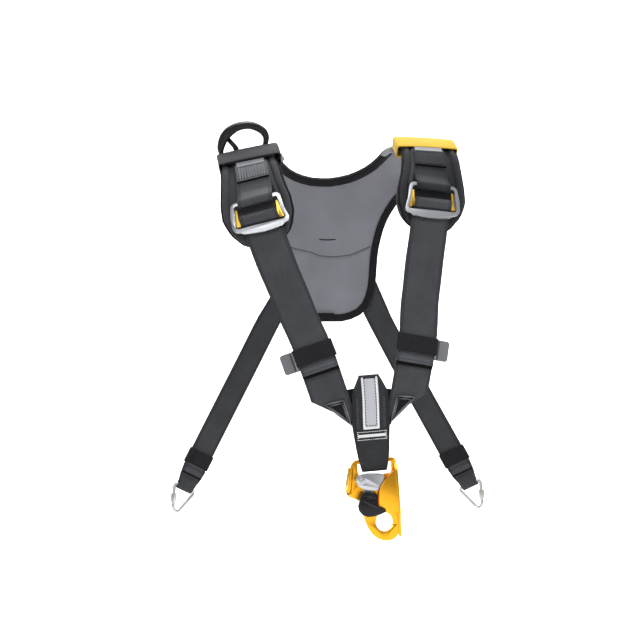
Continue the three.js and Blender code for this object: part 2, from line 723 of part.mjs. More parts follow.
const sides = [
  { side: -1, name: "right" },
  { side: 1, name: "left" },
];
for (const { side, name } of sides) {
  const place = frontPlace(side);
  add(`${name}_shoulder_pad`, shoulderPad(side), "dark_cloth");
  add(`${name}_shoulder_webbing`, webbing(
    shoulder_path, webbing_wall, place, () => shoulder_width / 2,
  ), "webbing");
  add(`${name}_buckle_frame`, onStrap(buckle_shape, buckle_bar, frame_under, place), "silver");
  add(`${name}_buckle_slider`, onStrap(slider_shape, slider_wall, slider_under, place), "orange_alloy");
  add(`${name}_front_strap`, webbing(
    strap_path, webbing_wall, strapPlace(side), () => main_width / 2,
  ), "webbing");
  add(`${name}_keeper`, bandRound(
    keeper_ring, keeper_wall, keeper_along - keeper_width / 2, keeper_along + keeper_width / 2, place,
  ), "black_cloth");
  add(`${name}_strap_tab`, onStrap(tab_shape, tab_wall, tab_under, place), "grey_plastic");
  add(`${name}_gusset`, thickSheet(
    gusset_points, [[0, 1, 2]],
    ([x, s]) => worn(onBody(side * x, s, gusset_under)),
    ([x, s]) => worn(onBody(side * x, s, gusset_under + gusset_wall)),
  ), "black_cloth");
}

// Bands over the shoulder tops, and the moulded gear loop that one of them holds down
const band_centre = (wing_inner + wing_outer) / 2;
const band_half = (wing_outer - wing_inner) / 2 + band_overhang;
const loop_base_wall = 2.2;
const bandPlace = (side) => (s, t, w) => onBody(side * (band_centre + t), s, w);
function shoulderBand(side, room) {
  const ring = ringPoints(
    band_half, -layer_gap - band_wall / 2, pad_rim_wall + layer_gap + room + band_wall / 2, 2.4, 3, 8,
  );
  return bandRound(
    ring, band_wall, band_middle - band_width / 2, band_middle + band_width / 2,
    bandPlace(side), 5,
  );
}
add("left_shoulder_band", shoulderBand(1, 0), "band_yellow");
add("right_shoulder_band", shoulderBand(-1, loop_base_wall + 3 * gap), "band_grey");

// Gear loop: a moulded arch on a flat base under the band, with a strut inside its
// outer leg; rows give its middle line and its wall
const arch_rows = [
  { t: 27, w: 14.2, wall: 3 },
  { t: 28.5, w: 17.5, wall: 6.5 },
  { t: 26.5, w: 25, wall: 8.5 },
  { t: 19.5, w: 35, wall: 9.5 },
  { t: 7, w: 41.5, wall: 8 },
  { t: -8, w: 41, wall: 7.5 },
  { t: -19.5, w: 33.5, wall: 7.5 },
  { t: -23.5, w: 25.5, wall: 7 },
  { t: -22, w: 18, wall: 5 },
  { t: -19, w: 14, wall: 2.8 },
];
const arch_middle = smooth(arch_rows.map((r) => [r.t, r.w]), 26);
const arch_wall = smooth(arch_rows.map((r, i) => [i * 10, r.wall]), 26);
const base_out = pad_rim_wall + layer_gap + loop_base_wall / 2;
const base_ring = [-16, -8, 0, 8, 16].map((t) => [t, base_out]);
const loop_ring = [...arch_middle, ...base_ring];
const loop_walls = [...arch_wall.map(([, wall]) => wall), ...base_ring.map(() => loop_base_wall)];
const arch_half_depth = 4.5;
const arch_along = band_middle + band_width / 2 + gap + arch_half_depth;
function gearLoop(side) {
  const place = bandPlace(side);
  const sections = loop_ring.map(([t, w], i) => {
    const [t0, w0] = loop_ring[(i + loop_ring.length - 1) % loop_ring.length];
    const [t1, w1] = loop_ring[(i + 1) % loop_ring.length];
    const size = Math.hypot(t1 - t0, w1 - w0);
    const out = [(w1 - w0) / size * loop_walls[i] / 2, -(t1 - t0) / size * loop_walls[i] / 2];
    const depth = arch_half_depth;
    const bevel = Math.min(1.4, loop_walls[i] / 3);
    const thin = 1 - bevel / (loop_walls[i] / 2);
    return [
      [1, -depth + bevel], [thin, -depth], [-thin, -depth], [-1, -depth + bevel],
      [-1, depth - bevel], [-thin, depth], [thin, depth], [1, depth - bevel],
    ].map(([o, s]) => place(arch_along + s, t + o * out[0], w + o * out[1])).map(worn);
  });
  return loft(sections, true);
}
const strut_rows = [[11, 15], [12, 20], [14.5, 25], [18, 31]];
const strut_half = 2.2;
function strut(side) {
  const place = bandPlace(side);
  return loft(strut_rows.map(([t, w]) => [
    place(arch_along - 3, t - strut_half, w), place(arch_along - 3, t + strut_half, w),
    place(arch_along + 3, t + strut_half, w), place(arch_along + 3, t - strut_half, w),
  ].map(worn)));
}
function loopBase(side) {
  const place = bandPlace(side);
  const [from, to] = [band_middle - band_width / 2 + 1, arch_along + arch_half_depth - 0.5];
  const [low, high] = [pad_rim_wall + layer_gap, pad_rim_wall + layer_gap + loop_base_wall];
  const row = spread(from, to, 4);
  return loft(spread(-27, 29, 6).map((t) => [
    ...row.map((s) => place(s, t, low)), ...row.slice().reverse().map((s) => place(s, t, high)),
  ].map(worn)));
}

// Solids for cutting and joining
function toSolid(geometry) {
  const plain = geometry.clone();
  for (const key of Object.keys(plain.attributes)) {
    if (key !== "position") plain.deleteAttribute(key);
  }
  const merged = mergeVertices(plain, 1e-4);
  return new wasm.Manifold(new wasm.Mesh({
    numProp: 3,
    vertProperties: Float32Array.from(merged.getAttribute("position").array),
    triVerts: Uint32Array.from(merged.index.array),
  }));
}
function toGeometry(solid) {
  const mesh = solid.getMesh();
  const geometry = new THREE.BufferGeometry();
  geometry.setAttribute("position", new THREE.BufferAttribute(mesh.vertProperties, 3));
  geometry.setIndex(Array.from(mesh.triVerts));
  geometry.computeVertexNormals();
  return geometry;
}
const joined = (...geometries) => (
  toGeometry(geometries.map(toSolid).reduce((all, next) => all.add(next)))
);
add("gear_loop", joined(gearLoop(-1), strut(-1), loopBase(-1)), "black_plastic");

// Sternal loop: one webbing loop from its upper fold down round the ascender's top bar,
// with the front straps' ends sewn in between its two layers
const centrePlace = (l, t, w) => onBody(t, -l, w);
const centreAlong = (z) => alongFront(0, z);
const loop_front = strand_low + webbing_wall + gap;
const loop_back = strand_low - webbing_wall - gap;
const plate_room = plate_wall / 2 + gap + webbing_wall / 2 + 0.6;
const plate_middle = strand_low + 0.65;
const loop_rows = [
  { height: loop_top, half: 11 },
  { height: -256, half: 15 },
  { height: -262, half: 19.5 },
  { height: -302, half: 20.5 },
  { height: -334, half: 17 },
  { height: loop_bottom, half: 13.5 },
];
const halfOfLoop = (l) => {
  const rows = loop_rows.map((r) => [centreAlong(r.height), r.half]);
  const i = Math.max(1, rows.findIndex(([along]) => along >= l));
  if (l >= rows[rows.length - 1][0]) return rows[rows.length - 1][1];
  const [[l0, h0], [l1, h1]] = [rows[i - 1], rows[i]];
  return THREE.MathUtils.lerp(h0, h1, THREE.MathUtils.clamp((l - l0) / (l1 - l0), 0, 1));
};
const upper_fold = (loop_front - loop_back) / 2;
const top_along = centreAlong(loop_top) + upper_fold;
const bottom_along = centreAlong(loop_bottom) - plate_room;
const parting = centreAlong(-312);
const loopOut = (from, to, l) => (
  THREE.MathUtils.lerp(from, to, THREE.MathUtils.smoothstep(l, parting, parting + 16))
);
const loop_path = [
  ...arc(top_along, strand_low, upper_fold, 1.5 * Math.PI, 0.5 * Math.PI, 6),
  ...spread(top_along + 8, bottom_along - 3, 10).map((l) => (
    [l, loopOut(loop_front, plate_middle + plate_room, l)]
  )),
  ...arc(bottom_along, plate_middle, plate_room, Math.PI / 2, -Math.PI / 2, 8),
  ...spread(bottom_along - 3, top_along + 8, 10).map((l) => (
    [l, loopOut(loop_back, plate_middle - plate_room, l)]
  )),
];
add("sternal_loop", webbing(
  loop_path, webbing_wall, centrePlace, halfOfLoop, 3, true,
), "black_cloth");
const label_out = loop_front + webbing_wall / 2 + gap + label_wall / 2;
add("label_strip", webbing(
  spread(centreAlong(label_top) + 1.5, centreAlong(label_bottom), 8).map((l) => [l, label_out]),
  label_wall, centrePlace, () => label_width / 2,
), "label_cloth");

// Ascender: everything is drawn in the plane of its plate, x across and y up from the
// middle of its top bar, z forward from the plate's back
const top_bar_height = -338;
const ascender = new THREE.Group();
const chest_front = -onBody(0, -centreAlong(top_bar_height), 0).y;
const hang = worn(new THREE.Vector3(0, -chest_front, top_bar_height));
ascender.position.set(hang.x, -chest_front - plate_middle + plate_wall / 2, hang.z);
ascender.rotation.set(Math.PI / 2, 0, 0);
ascender.rotation.order = "YXZ";
ascender.rotation.y = -worn_turn;
harness.add(ascender);

const outline = (rows) => new THREE.Shape(rows.map(([x, y]) => new THREE.Vector2(x, y)));
const slab = (shape, from, to) => {
  const solid = new THREE.ExtrudeGeometry(shape, {
    depth: to - from, bevelEnabled: false, curveSegments: 10,
  });
  return solid.translate(0, 0, from);
};
const ring = (x, y, rx, ry, steps = 24) => Array.from({ length: steps }, (_, i) => {
  const angle = i / steps * 2 * Math.PI;
  return [x + rx * Math.cos(angle), y + ry * Math.sin(angle)];
});
const plate_right = 24;
const plate_rows = [
  [-20, 0], [-24.5, -3], [-26.5, -8], [-32.5, -36], [-30, -39.5], [-21, -43.5], [-16.5, -50],
  [-16, -60], [-14.5, -68], [-12, -75], [-8, -82], [-2.5, -87.5], [4, -90.5], [11, -91], [17, -89],
  [21.5, -84.5], [plate_right, -77], [plate_right, -4], [22.5, -1], [20, 0],
];
const upper_eye = { left: -18.5, right: 18.5, top: -4.5, bottom: -17, corner: 3 };
const lower_eye = { x: 6.3, y: -70, rx: 9.3, ry: 10.5 };
const axle_at = { x: -16.5, y: -21.5 };
const catch_pin_at = { x: -9, y: -41.5 };
const plate_shape = outline(plate_rows);
const eye_rows = (({ left, right, top, bottom, corner }) => [
  [left, top], [right, top], [right, bottom + corner], [right - 1, bottom + 1],
  [right - corner, bottom], [left + corner, bottom], [left + 1, bottom + 1], [left, bottom + corner],
])(upper_eye);
plate_shape.holes.push(new THREE.Path(eye_rows.map(([x, y]) => new THREE.Vector2(x, y)).reverse()));
plate_shape.holes.push(new THREE.Path(
  ring(lower_eye.x, lower_eye.y, lower_eye.rx, lower_eye.ry).map(([x, y]) => new THREE.Vector2(x, y)),
));
const lip_rows = [
  [19, -13.5], [14, -18], [9, -23], [4.5, -28.5], [1.8, -35], [1, -43], [1.2, -50], [3.5, -54.5],
  [8, -57], [plate_right - 1, -58.5], [plate_right - 1, -13.5],
];
// The channel's right wall, seen from the side: z forward, y up
const wall_rows = [
  [0.5, -2], [5, -2], [channel_depth - 1, -11], [channel_depth, -13.5], [channel_depth, -58.5],
  [channel_depth - 4, -66], [7.5, -73], [6.5, -80], [4, -87], [0.5, -88],
];
const wall_geometry = slab(outline(wall_rows), 0, channel_wall)
  .rotateY(-Math.PI / 2)
  .translate(plate_right, 0, 0);
const roll_radius = 3.1;
const roll_from = new THREE.Vector3(-26, -8, roll_radius);
const roll_to = new THREE.Vector3(-30.5, -35.5, roll_radius);
const roll = new THREE.CylinderGeometry(
  roll_radius, roll_radius, roll_from.distanceTo(roll_to), 12,
);
const roll_along = roll_from.clone().sub(roll_to).normalize();
roll.applyQuaternion(new THREE.Quaternion().setFromUnitVectors(new THREE.Vector3(0, 1, 0), roll_along));
roll.translate(...roll_from.clone().add(roll_to).multiplyScalar(0.5).toArray());
const disc = (at, radius, from, to, steps = 16) => (
  slab(outline(ring(at.x, at.y, radius, radius, steps)), from, to)
);
const axle_hole = disc(axle_at, axle_radius + gap, -1, plate_wall + 1);
const frame_solid = toSolid(slab(plate_shape, 0, plate_wall))
  .add(toSolid(wall_geometry))
  .add(toSolid(slab(outline(lip_rows), channel_depth - channel_wall, channel_depth)))
  .add(toSolid(roll))
  .subtract(toSolid(axle_hole));
add("ascender_frame", toGeometry(frame_solid), "orange_alloy", ascender);

// Cam: toothed towards the rope channel, with a tongue that carries the catch's pin
const cam_under = plate_wall + gap;
const cam_over = cam_under + cam_wall;
const tooth_count = 8;
const cam_face = Array.from({ length: 2 * tooth_count + 1 }, (_, i) => [
  9.5 - (i % 2) * 1.2 - 0.06 * i, -17.5 - i * 0.95,
]);
const cam_rows = [
  [-22.5, -21.5], [-21, -16.8], [-16.5, -15], [-8, -14.8], [4, -15.5], ...cam_face,
  [2, -34.5], [-8, -33], [-14, -31.5], [-20, -27.5],
];
const tongue_rows = [
  [-15, -30], [-3, -32], [-4.5, -41], [-6, -45], [-9, -46.3], [-12.5, -45], [-14, -40],
];
const tongue_wall = 2.4;
const pin_radius = 1.6;
const pin_over = 13;
const cam_solid = toSolid(slab(outline(cam_rows), cam_under, cam_over))
  .add(toSolid(slab(outline(tongue_rows), cam_under, cam_under + tongue_wall)))
  .add(toSolid(disc(catch_pin_at, pin_radius, cam_under, pin_over, 12)))
  .subtract(toSolid(disc(axle_at, axle_radius + gap, 0, cam_over + 1)));
add("cam", toGeometry(cam_solid), "steel", ascender);
const axle_head = 1.4;
add("cam_axle", joined(
  disc(axle_at, axle_radius, -axle_head, cam_over + gap + axle_head),
  disc(axle_at, axle_radius + 1.6, cam_over + gap, cam_over + gap + axle_head),
  disc(axle_at, axle_radius + 1.6, -gap - axle_head, -gap),
), "steel", ascender);

// Catch: a moulded lever on the cam's pin, whose blade reaches over the channel's lip
const catch_under = cam_under + tongue_wall + 3 * gap;
const catch_over = channel_depth + gap;
const catch_rows = [
  [-18.5, -37.5], [-16.5, -35.6], [-11, -35.2], [-5, -36.4], [-0.2, -38.2], [-0.2, -50],
  [-6, -58.5], [-12, -60], [-18, -57], [-21, -50], [-20.5, -43],
];
const blade_wall = 3.2;
const blade_rows = [
  [-20, -41.5], [-15, -40.5], [7.5, -55.2], [7, -57.2], [1, -59.4], [-6, -61], [-13, -61],
  [-18.5, -58.5], [-22, -54], [-22.8, -48],
];
const catch_solid = toSolid(slab(outline(catch_rows), catch_under, catch_over + 0.2))
  .add(toSolid(slab(outline(blade_rows), catch_over, catch_over + blade_wall)))
  .subtract(toSolid(disc(catch_pin_at, pin_radius + gap, 0, pin_over + gap, 12)));
add("catch", toGeometry(catch_solid), "black_plastic", ascender);

// Rear straps: from their crossing on the yoke's back, past its lower corners, to the
// screw links in their folded ends
const rear_start = -alongAt(BACK, 0, rear_cross_height);
const rear_end_x = rear_slope * (rear_cross_height - rear_end_height);
const rear_plan = [
  -rear_start, alongAt(BACK, rear_end_x, rear_end_height),
];
const rear_length = Math.hypot(rear_end_x, rear_plan[1] - rear_plan[0]);
const rear_down = [rear_end_x / rear_length, (rear_plan[1] - rear_plan[0]) / rear_length];
const rearPlace = (side) => (l, t, w) => onBody(
  side * (rear_down[0] * l + rear_down[1] * t),
  rear_plan[0] + rear_down[1] * l - rear_down[0] * t,
  w,
);
const on_binding = yoke_edge_wall + 2 * gap + binding_wall + layer_gap + webbing_wall / 2;
const rear_mid = 5;
const fold_middle = 4;
const link_fold = link_wire + 2 * gap + webbing_wall / 2;
const link_corner = 3;
const fold_along = rear_length - link_fold;
const rear_ease = 0.28 * rear_length;
const rearOut = (lift) => (l) => {
  const over = lift * (1 - THREE.MathUtils.smoothstep(l, 24, 52));
  const down = THREE.MathUtils.smoothstep(l, rear_ease + 45, rear_ease + 110);
  return over + THREE.MathUtils.lerp(on_binding, rear_mid, down);
};
const rearPath = (lift) => [
  ...spread(-20, fold_along - 26, 24).map((l) => [l, rearOut(lift)(l)]),
  [fold_along - 14, rear_mid + 0.3], [fold_along - 6, fold_middle + link_fold - 0.8],
  ...arc(fold_along, fold_middle, link_fold, Math.PI / 2, -Math.PI / 2, 8),
  [fold_along - 6, fold_middle - link_fold + 0.8], [fold_along - 14, rear_mid - layer + 0.1],
  [fold_along - rear_foldback, rear_mid - layer - 0.1],
];
const rearHalf = (l) => {
  const narrow = THREE.MathUtils.smoothstep(l, fold_along - 22, fold_along);
  return THREE.MathUtils.lerp(rear_width / 2, link_width / 2 - link_corner - 4 * gap, narrow);
};
const rear_keeper_along = (rear_cross_height - rear_keeper_height)
  / (rear_cross_height - rear_end_height) * rear_length;
const rear_keeper_width = 18;
const rear_keeper_wall = 1.2;
const rear_keeper_ring = ringPoints(
  rear_width / 2 + gap + rear_keeper_wall / 2,
  rear_mid - webbing_wall / 2 - layer_gap - rear_keeper_wall / 2,
  rear_mid + webbing_wall / 2 + layer_gap + rear_keeper_wall / 2, 1.3, 2, 4,
);

// Screw link: a delta of round wire, open on its outer side under the nut
const link_tip = 4.5;
const side_slope = Math.atan2(link_width / 2 - link_tip * 0.55, link_length - 4);
const nut_start = 5.5;             // from the tip's end of the straight side
const wire_gap = 3.6;
const wire_gap_start = nut_start + 1.2;
const link_points = (() => {
  const half = link_width / 2;
  const low = -link_length + link_tip;
  const side_top = [half, -link_corner];
  const side_low = [link_tip * Math.cos(side_slope), low - link_tip * Math.sin(side_slope)];
  const onSideLine = (share) => [
    THREE.MathUtils.lerp(side_low[0], side_top[0], share),
    THREE.MathUtils.lerp(side_low[1], side_top[1], share),
  ];
  const length = Math.hypot(side_top[0] - side_low[0], side_top[1] - side_low[1]);
  const middle = nut_start + nut_length / 2;
  const points = [onSideLine(wire_gap_start / length)];
  points.push(onSideLine(0.12));
  for (let i = 0; i <= 6; i += 1) {
    const angle = -side_slope - i / 6 * (Math.PI - 2 * side_slope);
    points.push([link_tip * Math.cos(angle), low + link_tip * Math.sin(angle)]);
  }
  points.push([-onSideLine(0.35)[0], onSideLine(0.35)[1]]);
  points.push([-onSideLine(0.7)[0], onSideLine(0.7)[1]]);
  const corner = (x, from) => {
    for (let i = 0; i <= 4; i += 1) {
      const angle = from - i / 4 * Math.PI / 2;
      points.push([
        x + link_corner * Math.cos(angle), -link_corner + link_corner * Math.sin(angle),
      ]);
    }
  };
  corner(link_corner - half, Math.PI);
  points.push([0, 0]);
  corner(half - link_corner, Math.PI / 2);
  points.push(onSideLine(0.85));
  points.push(onSideLine((wire_gap_start + wire_gap) / length));
  return {
    points,
    nut: onSideLine(middle / length),
    along: [side_top[0] - side_low[0], side_top[1] - side_low[1]],
  };
})();
const wire_steps = 30;
function linkWire(side) {
  const curve = new THREE.CatmullRomCurve3(
    link_points.points.map(([x, y]) => new THREE.Vector3(side * x, y, 0)), false, "centripetal",
  );
  const section = outline(ring(0, 0, link_wire, link_wire, 8));
  return new THREE.ExtrudeGeometry(section, {
    steps: wire_steps, extrudePath: curve, bevelEnabled: false,
  });
}
const nutAngle = Math.atan2(link_points.along[0], link_points.along[1]);
function linkNut(side) {
  const nut_shape = outline(ring(0, 0, nut_radius, nut_radius, 6));
  nut_shape.holes.push(new THREE.Path(
    ring(0, 0, link_wire + gap, link_wire + gap, 12).map(([x, y]) => new THREE.Vector2(x, y)).reverse(),
  ));
  return slab(nut_shape, -nut_length / 2, nut_length / 2)
    .rotateX(-Math.PI / 2)
    .rotateZ(-side * nutAngle)
    .translate(side * link_points.nut[0], link_points.nut[1], 0);
}
function seatOnStrap(place, l, w) {
  const origin = worn(place(l, 0, w));
  const across = worn(place(l, 4, w)).sub(worn(place(l, -4, w))).normalize();
  const up = worn(place(l - 4, 0, w)).sub(worn(place(l + 4, 0, w)));
  const front = across.clone().cross(up).normalize();
  const upright = front.clone().cross(across);
  return new THREE.Matrix4().makeBasis(across, upright, front).setPosition(origin);
}
for (const { side, name } of sides) {
  const place = rearPlace(side);
  const lift = side > 0 ? layer : 0;
  add(`${name}_rear_strap`, webbing(rearPath(lift), webbing_wall, place, rearHalf), "webbing");
  add(`${name}_rear_keeper`, bandRound(
    rear_keeper_ring, rear_keeper_wall, rear_keeper_along - rear_keeper_width / 2,
    rear_keeper_along + rear_keeper_width / 2, place,
  ), "black_cloth");
  const link = new THREE.Group();
  const mirrored = (l, t, w) => place(l, side * t, w);
  link.applyMatrix4(seatOnStrap(mirrored, fold_along, fold_middle));
  add(`${name}_screw_link`, linkWire(side), "silver", link);
  add(`${name}_link_nut`, linkNut(side), "silver", link);
  harness.add(link);
}
export default harness;
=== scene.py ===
# The looks of a climbing chest harness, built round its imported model. Metres, +Z up;
# the wearer faces -Y and the wearer's left is +X.
import math
import bmesh
import bpy
from mathutils import Matrix, Vector
from mathutils.bvhtree import BVHTree


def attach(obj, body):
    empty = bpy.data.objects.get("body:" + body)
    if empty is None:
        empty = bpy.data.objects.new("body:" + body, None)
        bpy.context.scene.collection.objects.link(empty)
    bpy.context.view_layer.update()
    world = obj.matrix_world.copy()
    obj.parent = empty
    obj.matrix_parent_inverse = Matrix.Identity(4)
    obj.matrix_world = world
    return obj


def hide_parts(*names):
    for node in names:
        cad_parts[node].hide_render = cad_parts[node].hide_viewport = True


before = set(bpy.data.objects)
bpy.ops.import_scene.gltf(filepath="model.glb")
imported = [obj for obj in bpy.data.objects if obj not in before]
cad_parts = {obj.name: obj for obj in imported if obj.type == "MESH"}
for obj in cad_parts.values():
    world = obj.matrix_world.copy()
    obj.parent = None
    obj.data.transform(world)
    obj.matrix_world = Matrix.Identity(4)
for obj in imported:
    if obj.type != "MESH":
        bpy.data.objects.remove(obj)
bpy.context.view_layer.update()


# The studio: a pale paper floor that curves up into a backdrop, four broad soft lights
# and the camera at the photograph's angle. The harness hangs in the air as if worn, so
# the floor lies a little below its lowest piece.
def grey(level):
    """Linear value of an 8-bit screen grey."""
    share = level / 255
    return share / 12.92 if share <= 0.04045 else ((share + 0.055) / 1.055) ** 2.4


def tint(red, green, blue):
    return (grey(red), grey(green), grey(blue), 1.0)


def link(name, mesh):
    piece = bpy.data.objects.new(name, mesh)
    bpy.context.scene.collection.objects.link(piece)
    return piece


class Signal:
    """A value that changes over a surface; sums on it add the material's maths nodes."""

    def __init__(self, finish, socket):
        self.finish = finish
        self.socket = socket

    def maths(self, operation, *values):
        return self.finish.node(
            "ShaderNodeMath", {"operation": operation}, dict(enumerate(values)))

    def __add__(self, other):
        return self.maths("ADD", self, other)

    def __sub__(self, other):
        return self.maths("SUBTRACT", self, other)

    def __rsub__(self, other):
        return self.maths("SUBTRACT", other, self)

    def __mul__(self, other):
        return self.maths("MULTIPLY", self, other)

    def __truediv__(self, other):
        return self.maths("DIVIDE", self, other)

    def __abs__(self):
        return self.maths("ABSOLUTE", self)

    __radd__ = __add__
    __rmul__ = __mul__

    def wave(self):
        """From 0 to 1 and back once for each whole number passed."""
        return self.maths("SINE", self * (2 * math.pi)) * 0.5 + 0.5

    def ease(self, start, end):
        """0 before start and 1 after end, eased between; start may be the larger."""
        return self.finish.node(
            "ShaderNodeMapRange", {"interpolation_type": "SMOOTHSTEP"},
            {"Value": self, "From Min": start, "From Max": end})

    def between(self, start, end, soft):
        """1 between start and end, eased over soft to either side of both."""
        return self.ease(start - soft, start + soft) * self.ease(end + soft, end - soft)


class Finish:
    """A material built node by node on its Principled shader."""

    def __init__(self, name, colour, roughness, metallic=0.0, shine=0.5, sheen=0.0):
        self.material = bpy.data.materials.new(name)
        self.material.use_nodes = True
        self.material.diffuse_color = colour
        self.tree = self.material.node_tree
        self.shader = self.tree.nodes["Principled BSDF"]
        for socket, value in (
                ("Base Color", colour), ("Roughness", roughness), ("Metallic", metallic),
                ("Specular IOR Level", shine), ("Sheen Weight", sheen)):
            self.shader.inputs[socket].default_value = value

    def node(self, kind, settings=None, values=None, output=0):
        node = self.tree.nodes.new(kind)
        for setting, value in (settings or {}).items():
            setattr(node, setting, value)
        for socket, value in (values or {}).items():
            if isinstance(value, Signal):
                self.tree.links.new(value.socket, node.inputs[socket])
            else:
                node.inputs[socket].default_value = value
        return Signal(self, node.outputs[output])

    def place(self):
        return self.node("ShaderNodeTexCoord", output="Object")

    def split(self, vector):
        return [self.node("ShaderNodeSeparateXYZ", None, {0: vector}, axis)
                for axis in range(3)]

    def noise(self, scale, detail=3.0):
        return self.node(
            "ShaderNodeTexNoise", None,
            {"Vector": self.place(), "Scale": scale, "Detail": detail})

    def blend(self, share, first, second):
        """Colour that goes from first to second as share goes from 0 to 1."""
        return self.node(
            "ShaderNodeMix", {"data_type": "RGBA"},
            {"Factor": share, 6: first, 7: second}, 2)

    def feed(self, socket, signal):
        self.tree.links.new(signal.socket, self.shader.inputs[socket])

    def bump(self, height, depth):
        self.feed("Normal", self.node(
            "ShaderNodeBump", None, {"Height": height, "Distance": depth}))


floor_height, floor_reach, wall_place, wall_top = -0.5, 5.0, 2.6, 2.8
studio = bmesh.new()
wall_edge, corner, floor_edge = (
    [studio.verts.new((x, y, z)) for x in (-floor_reach, floor_reach)]
    for y, z in ((wall_place, wall_top), (wall_place, floor_height),
                 (-floor_reach, floor_height)))
studio.faces.new((wall_edge[0], wall_edge[1], corner[1], corner[0]))
studio.faces.new((corner[0], corner[1], floor_edge[1], floor_edge[0]))
fold = [edge for edge in studio.edges if all(vert in corner for vert in edge.verts)]
bmesh.ops.bevel(
    studio, geom=fold, offset=1.6, segments=16, profile=0.5, affect="EDGES", material=-1)
studio_mesh = bpy.data.meshes.new("studio_floor")
studio.to_mesh(studio_mesh)
studio.free()
studio_mesh.shade_smooth()
studio_floor = link("studio_floor", studio_mesh)
paper = Finish("pale_paper", tint(250, 250, 250), 0.9)
studio_mesh.materials.append(paper.material)


def soft_light(name, place, aim, width, power):
    """A broad light at a place, turned towards its aim."""
    lamp = bpy.data.lights.new(name, "AREA")
    lamp.shape = "RECTANGLE"
    lamp.size = width
    lamp.size_y = 0.7 * width
    lamp.energy = power
    light = link(name, lamp)
    light.location = place
    light.rotation_euler = (Vector(aim) - Vector(place)).to_track_quat("-Z", "Y").to_euler()


soft_light("key_light", (-0.3, -2.0, 2.3), aim=(0, 0, -0.15), width=1.7, power=52)
soft_light("fill_light", (2.2, -1.5, 0.2), aim=(0, 0, -0.2), width=1.2, power=9)
soft_light("top_light", (0.2, 0.3, 2.1), aim=(0, 0, 0), width=1.2, power=26)
soft_light("backdrop_light", (0, 0.9, 1.7), aim=(0, 2.6, -0.1), width=2.4, power=80)
sky = bpy.data.worlds.new("soft_sky")
sky.use_nodes = True
sky.node_tree.nodes["Background"].inputs["Color"].default_value = tint(235, 238, 243)
sky.node_tree.nodes["Background"].inputs["Strength"].default_value = 0.42
bpy.context.scene.world = sky
bpy.context.scene.view_settings.view_transform = "Standard"

lens = bpy.data.cameras.new("photo_camera")
lens.lens = 117.64
lens.sensor_width = 36
camera = link("photo_camera", lens)
camera.location = (-0.2685, -2.3902, -0.1055)
camera.rotation_euler = (math.radians(88), 0, math.radians(-6))
bpy.context.scene.camera = camera


# Front straps: flat webbing woven in a diagonal rib with tight selvedges, folded over
# the buckle's bar so that its tail lies on top of it; where it bends over the bar it is
# painted lighter as a painted highlight. The tail's end is hemmed with two rows of black
# thread.
right_front = (
    # distance along, middle, way across, way out
    (0.0840, (-0.0976, -0.0756, -0.0483), (-0.950, 0.158, -0.270), (-0.243, -0.874, 0.420)),
    (0.1080, (-0.0945, -0.0856, -0.0714), (-0.951, 0.190, -0.243), (-0.264, -0.909, 0.322)),
    (0.1320, (-0.0867, -0.0952, -0.0937), (-0.954, 0.181, -0.239), (-0.245, -0.929, 0.277)),
    (0.1560, (-0.0787, -0.1029, -0.1169), (-0.926, 0.141, -0.351), (-0.227, -0.949, 0.218)),
    (0.1800, (-0.0696, -0.1076, -0.1403), (-0.928, 0.138, -0.346), (-0.223, -0.956, 0.191)),
    (0.2040, (-0.0600, -0.1117, -0.1635), (-0.932, 0.127, -0.341), (-0.201, -0.963, 0.178)),
    (0.2280, (-0.0509, -0.1170, -0.1867), (-0.932, 0.121, -0.342), (-0.194, -0.969, 0.153)),
    (0.2520, (-0.0406, -0.1217, -0.2100), (-0.935, 0.115, -0.335), (-0.170, -0.978, 0.120)),
    (0.2760, (-0.0322, -0.1254, -0.2337), (-0.939, 0.107, -0.326), (-0.143, -0.986, 0.090)),
    (0.3000, (-0.0241, -0.1272, -0.2576), (-0.942, 0.101, -0.319), (-0.126, -0.990, 0.059)),
    (0.3328, (-0.0143, -0.1288, -0.2903), (-0.942, 0.101, -0.319), (-0.100, -0.995, 0.021)),
)
left_front = (
    # distance along, middle, way across, way out
    (0.0840, (0.1003, -0.0756, -0.0328), (0.979, 0.161, -0.122), (0.219, -0.865, 0.452)),
    (0.1080, (0.0997, -0.0856, -0.0562), (0.977, 0.190, -0.092), (0.211, -0.909, 0.359)),
    (0.1320, (0.0953, -0.0952, -0.0794), (0.979, 0.182, -0.088), (0.202, -0.929, 0.312)),
    (0.1560, (0.0909, -0.1029, -0.1036), (0.969, 0.141, -0.202), (0.191, -0.949, 0.251)),
    (0.1800, (0.0869, -0.1076, -0.1280), (0.973, 0.134, -0.188), (0.166, -0.961, 0.223)),
    (0.2040, (0.0837, -0.1117, -0.1522), (0.974, 0.125, -0.187), (0.159, -0.965, 0.207)),
    (0.2280, (0.0806, -0.1170, -0.1763), (0.977, 0.115, -0.179), (0.136, -0.974, 0.180)),
    (0.2520, (0.0788, -0.1217, -0.2006), (0.978, 0.111, -0.175), (0.130, -0.981, 0.144)),
    (0.2760, (0.0751, -0.1254, -0.2253), (0.979, 0.107, -0.175), (0.127, -0.986, 0.112)),
    (0.3000, (0.0709, -0.1272, -0.2501), (0.981, 0.101, -0.168), (0.115, -0.990, 0.077)),
    (0.3328, (0.0640, -0.1288, -0.2842), (0.981, 0.101, -0.168), (0.099, -0.994, 0.037)),
)


def vector_rows(rows):
    """A strap's table with its middles and ways as vectors."""
    return [(row[0], *(Vector(part) for part in row[1:])) for row in rows]


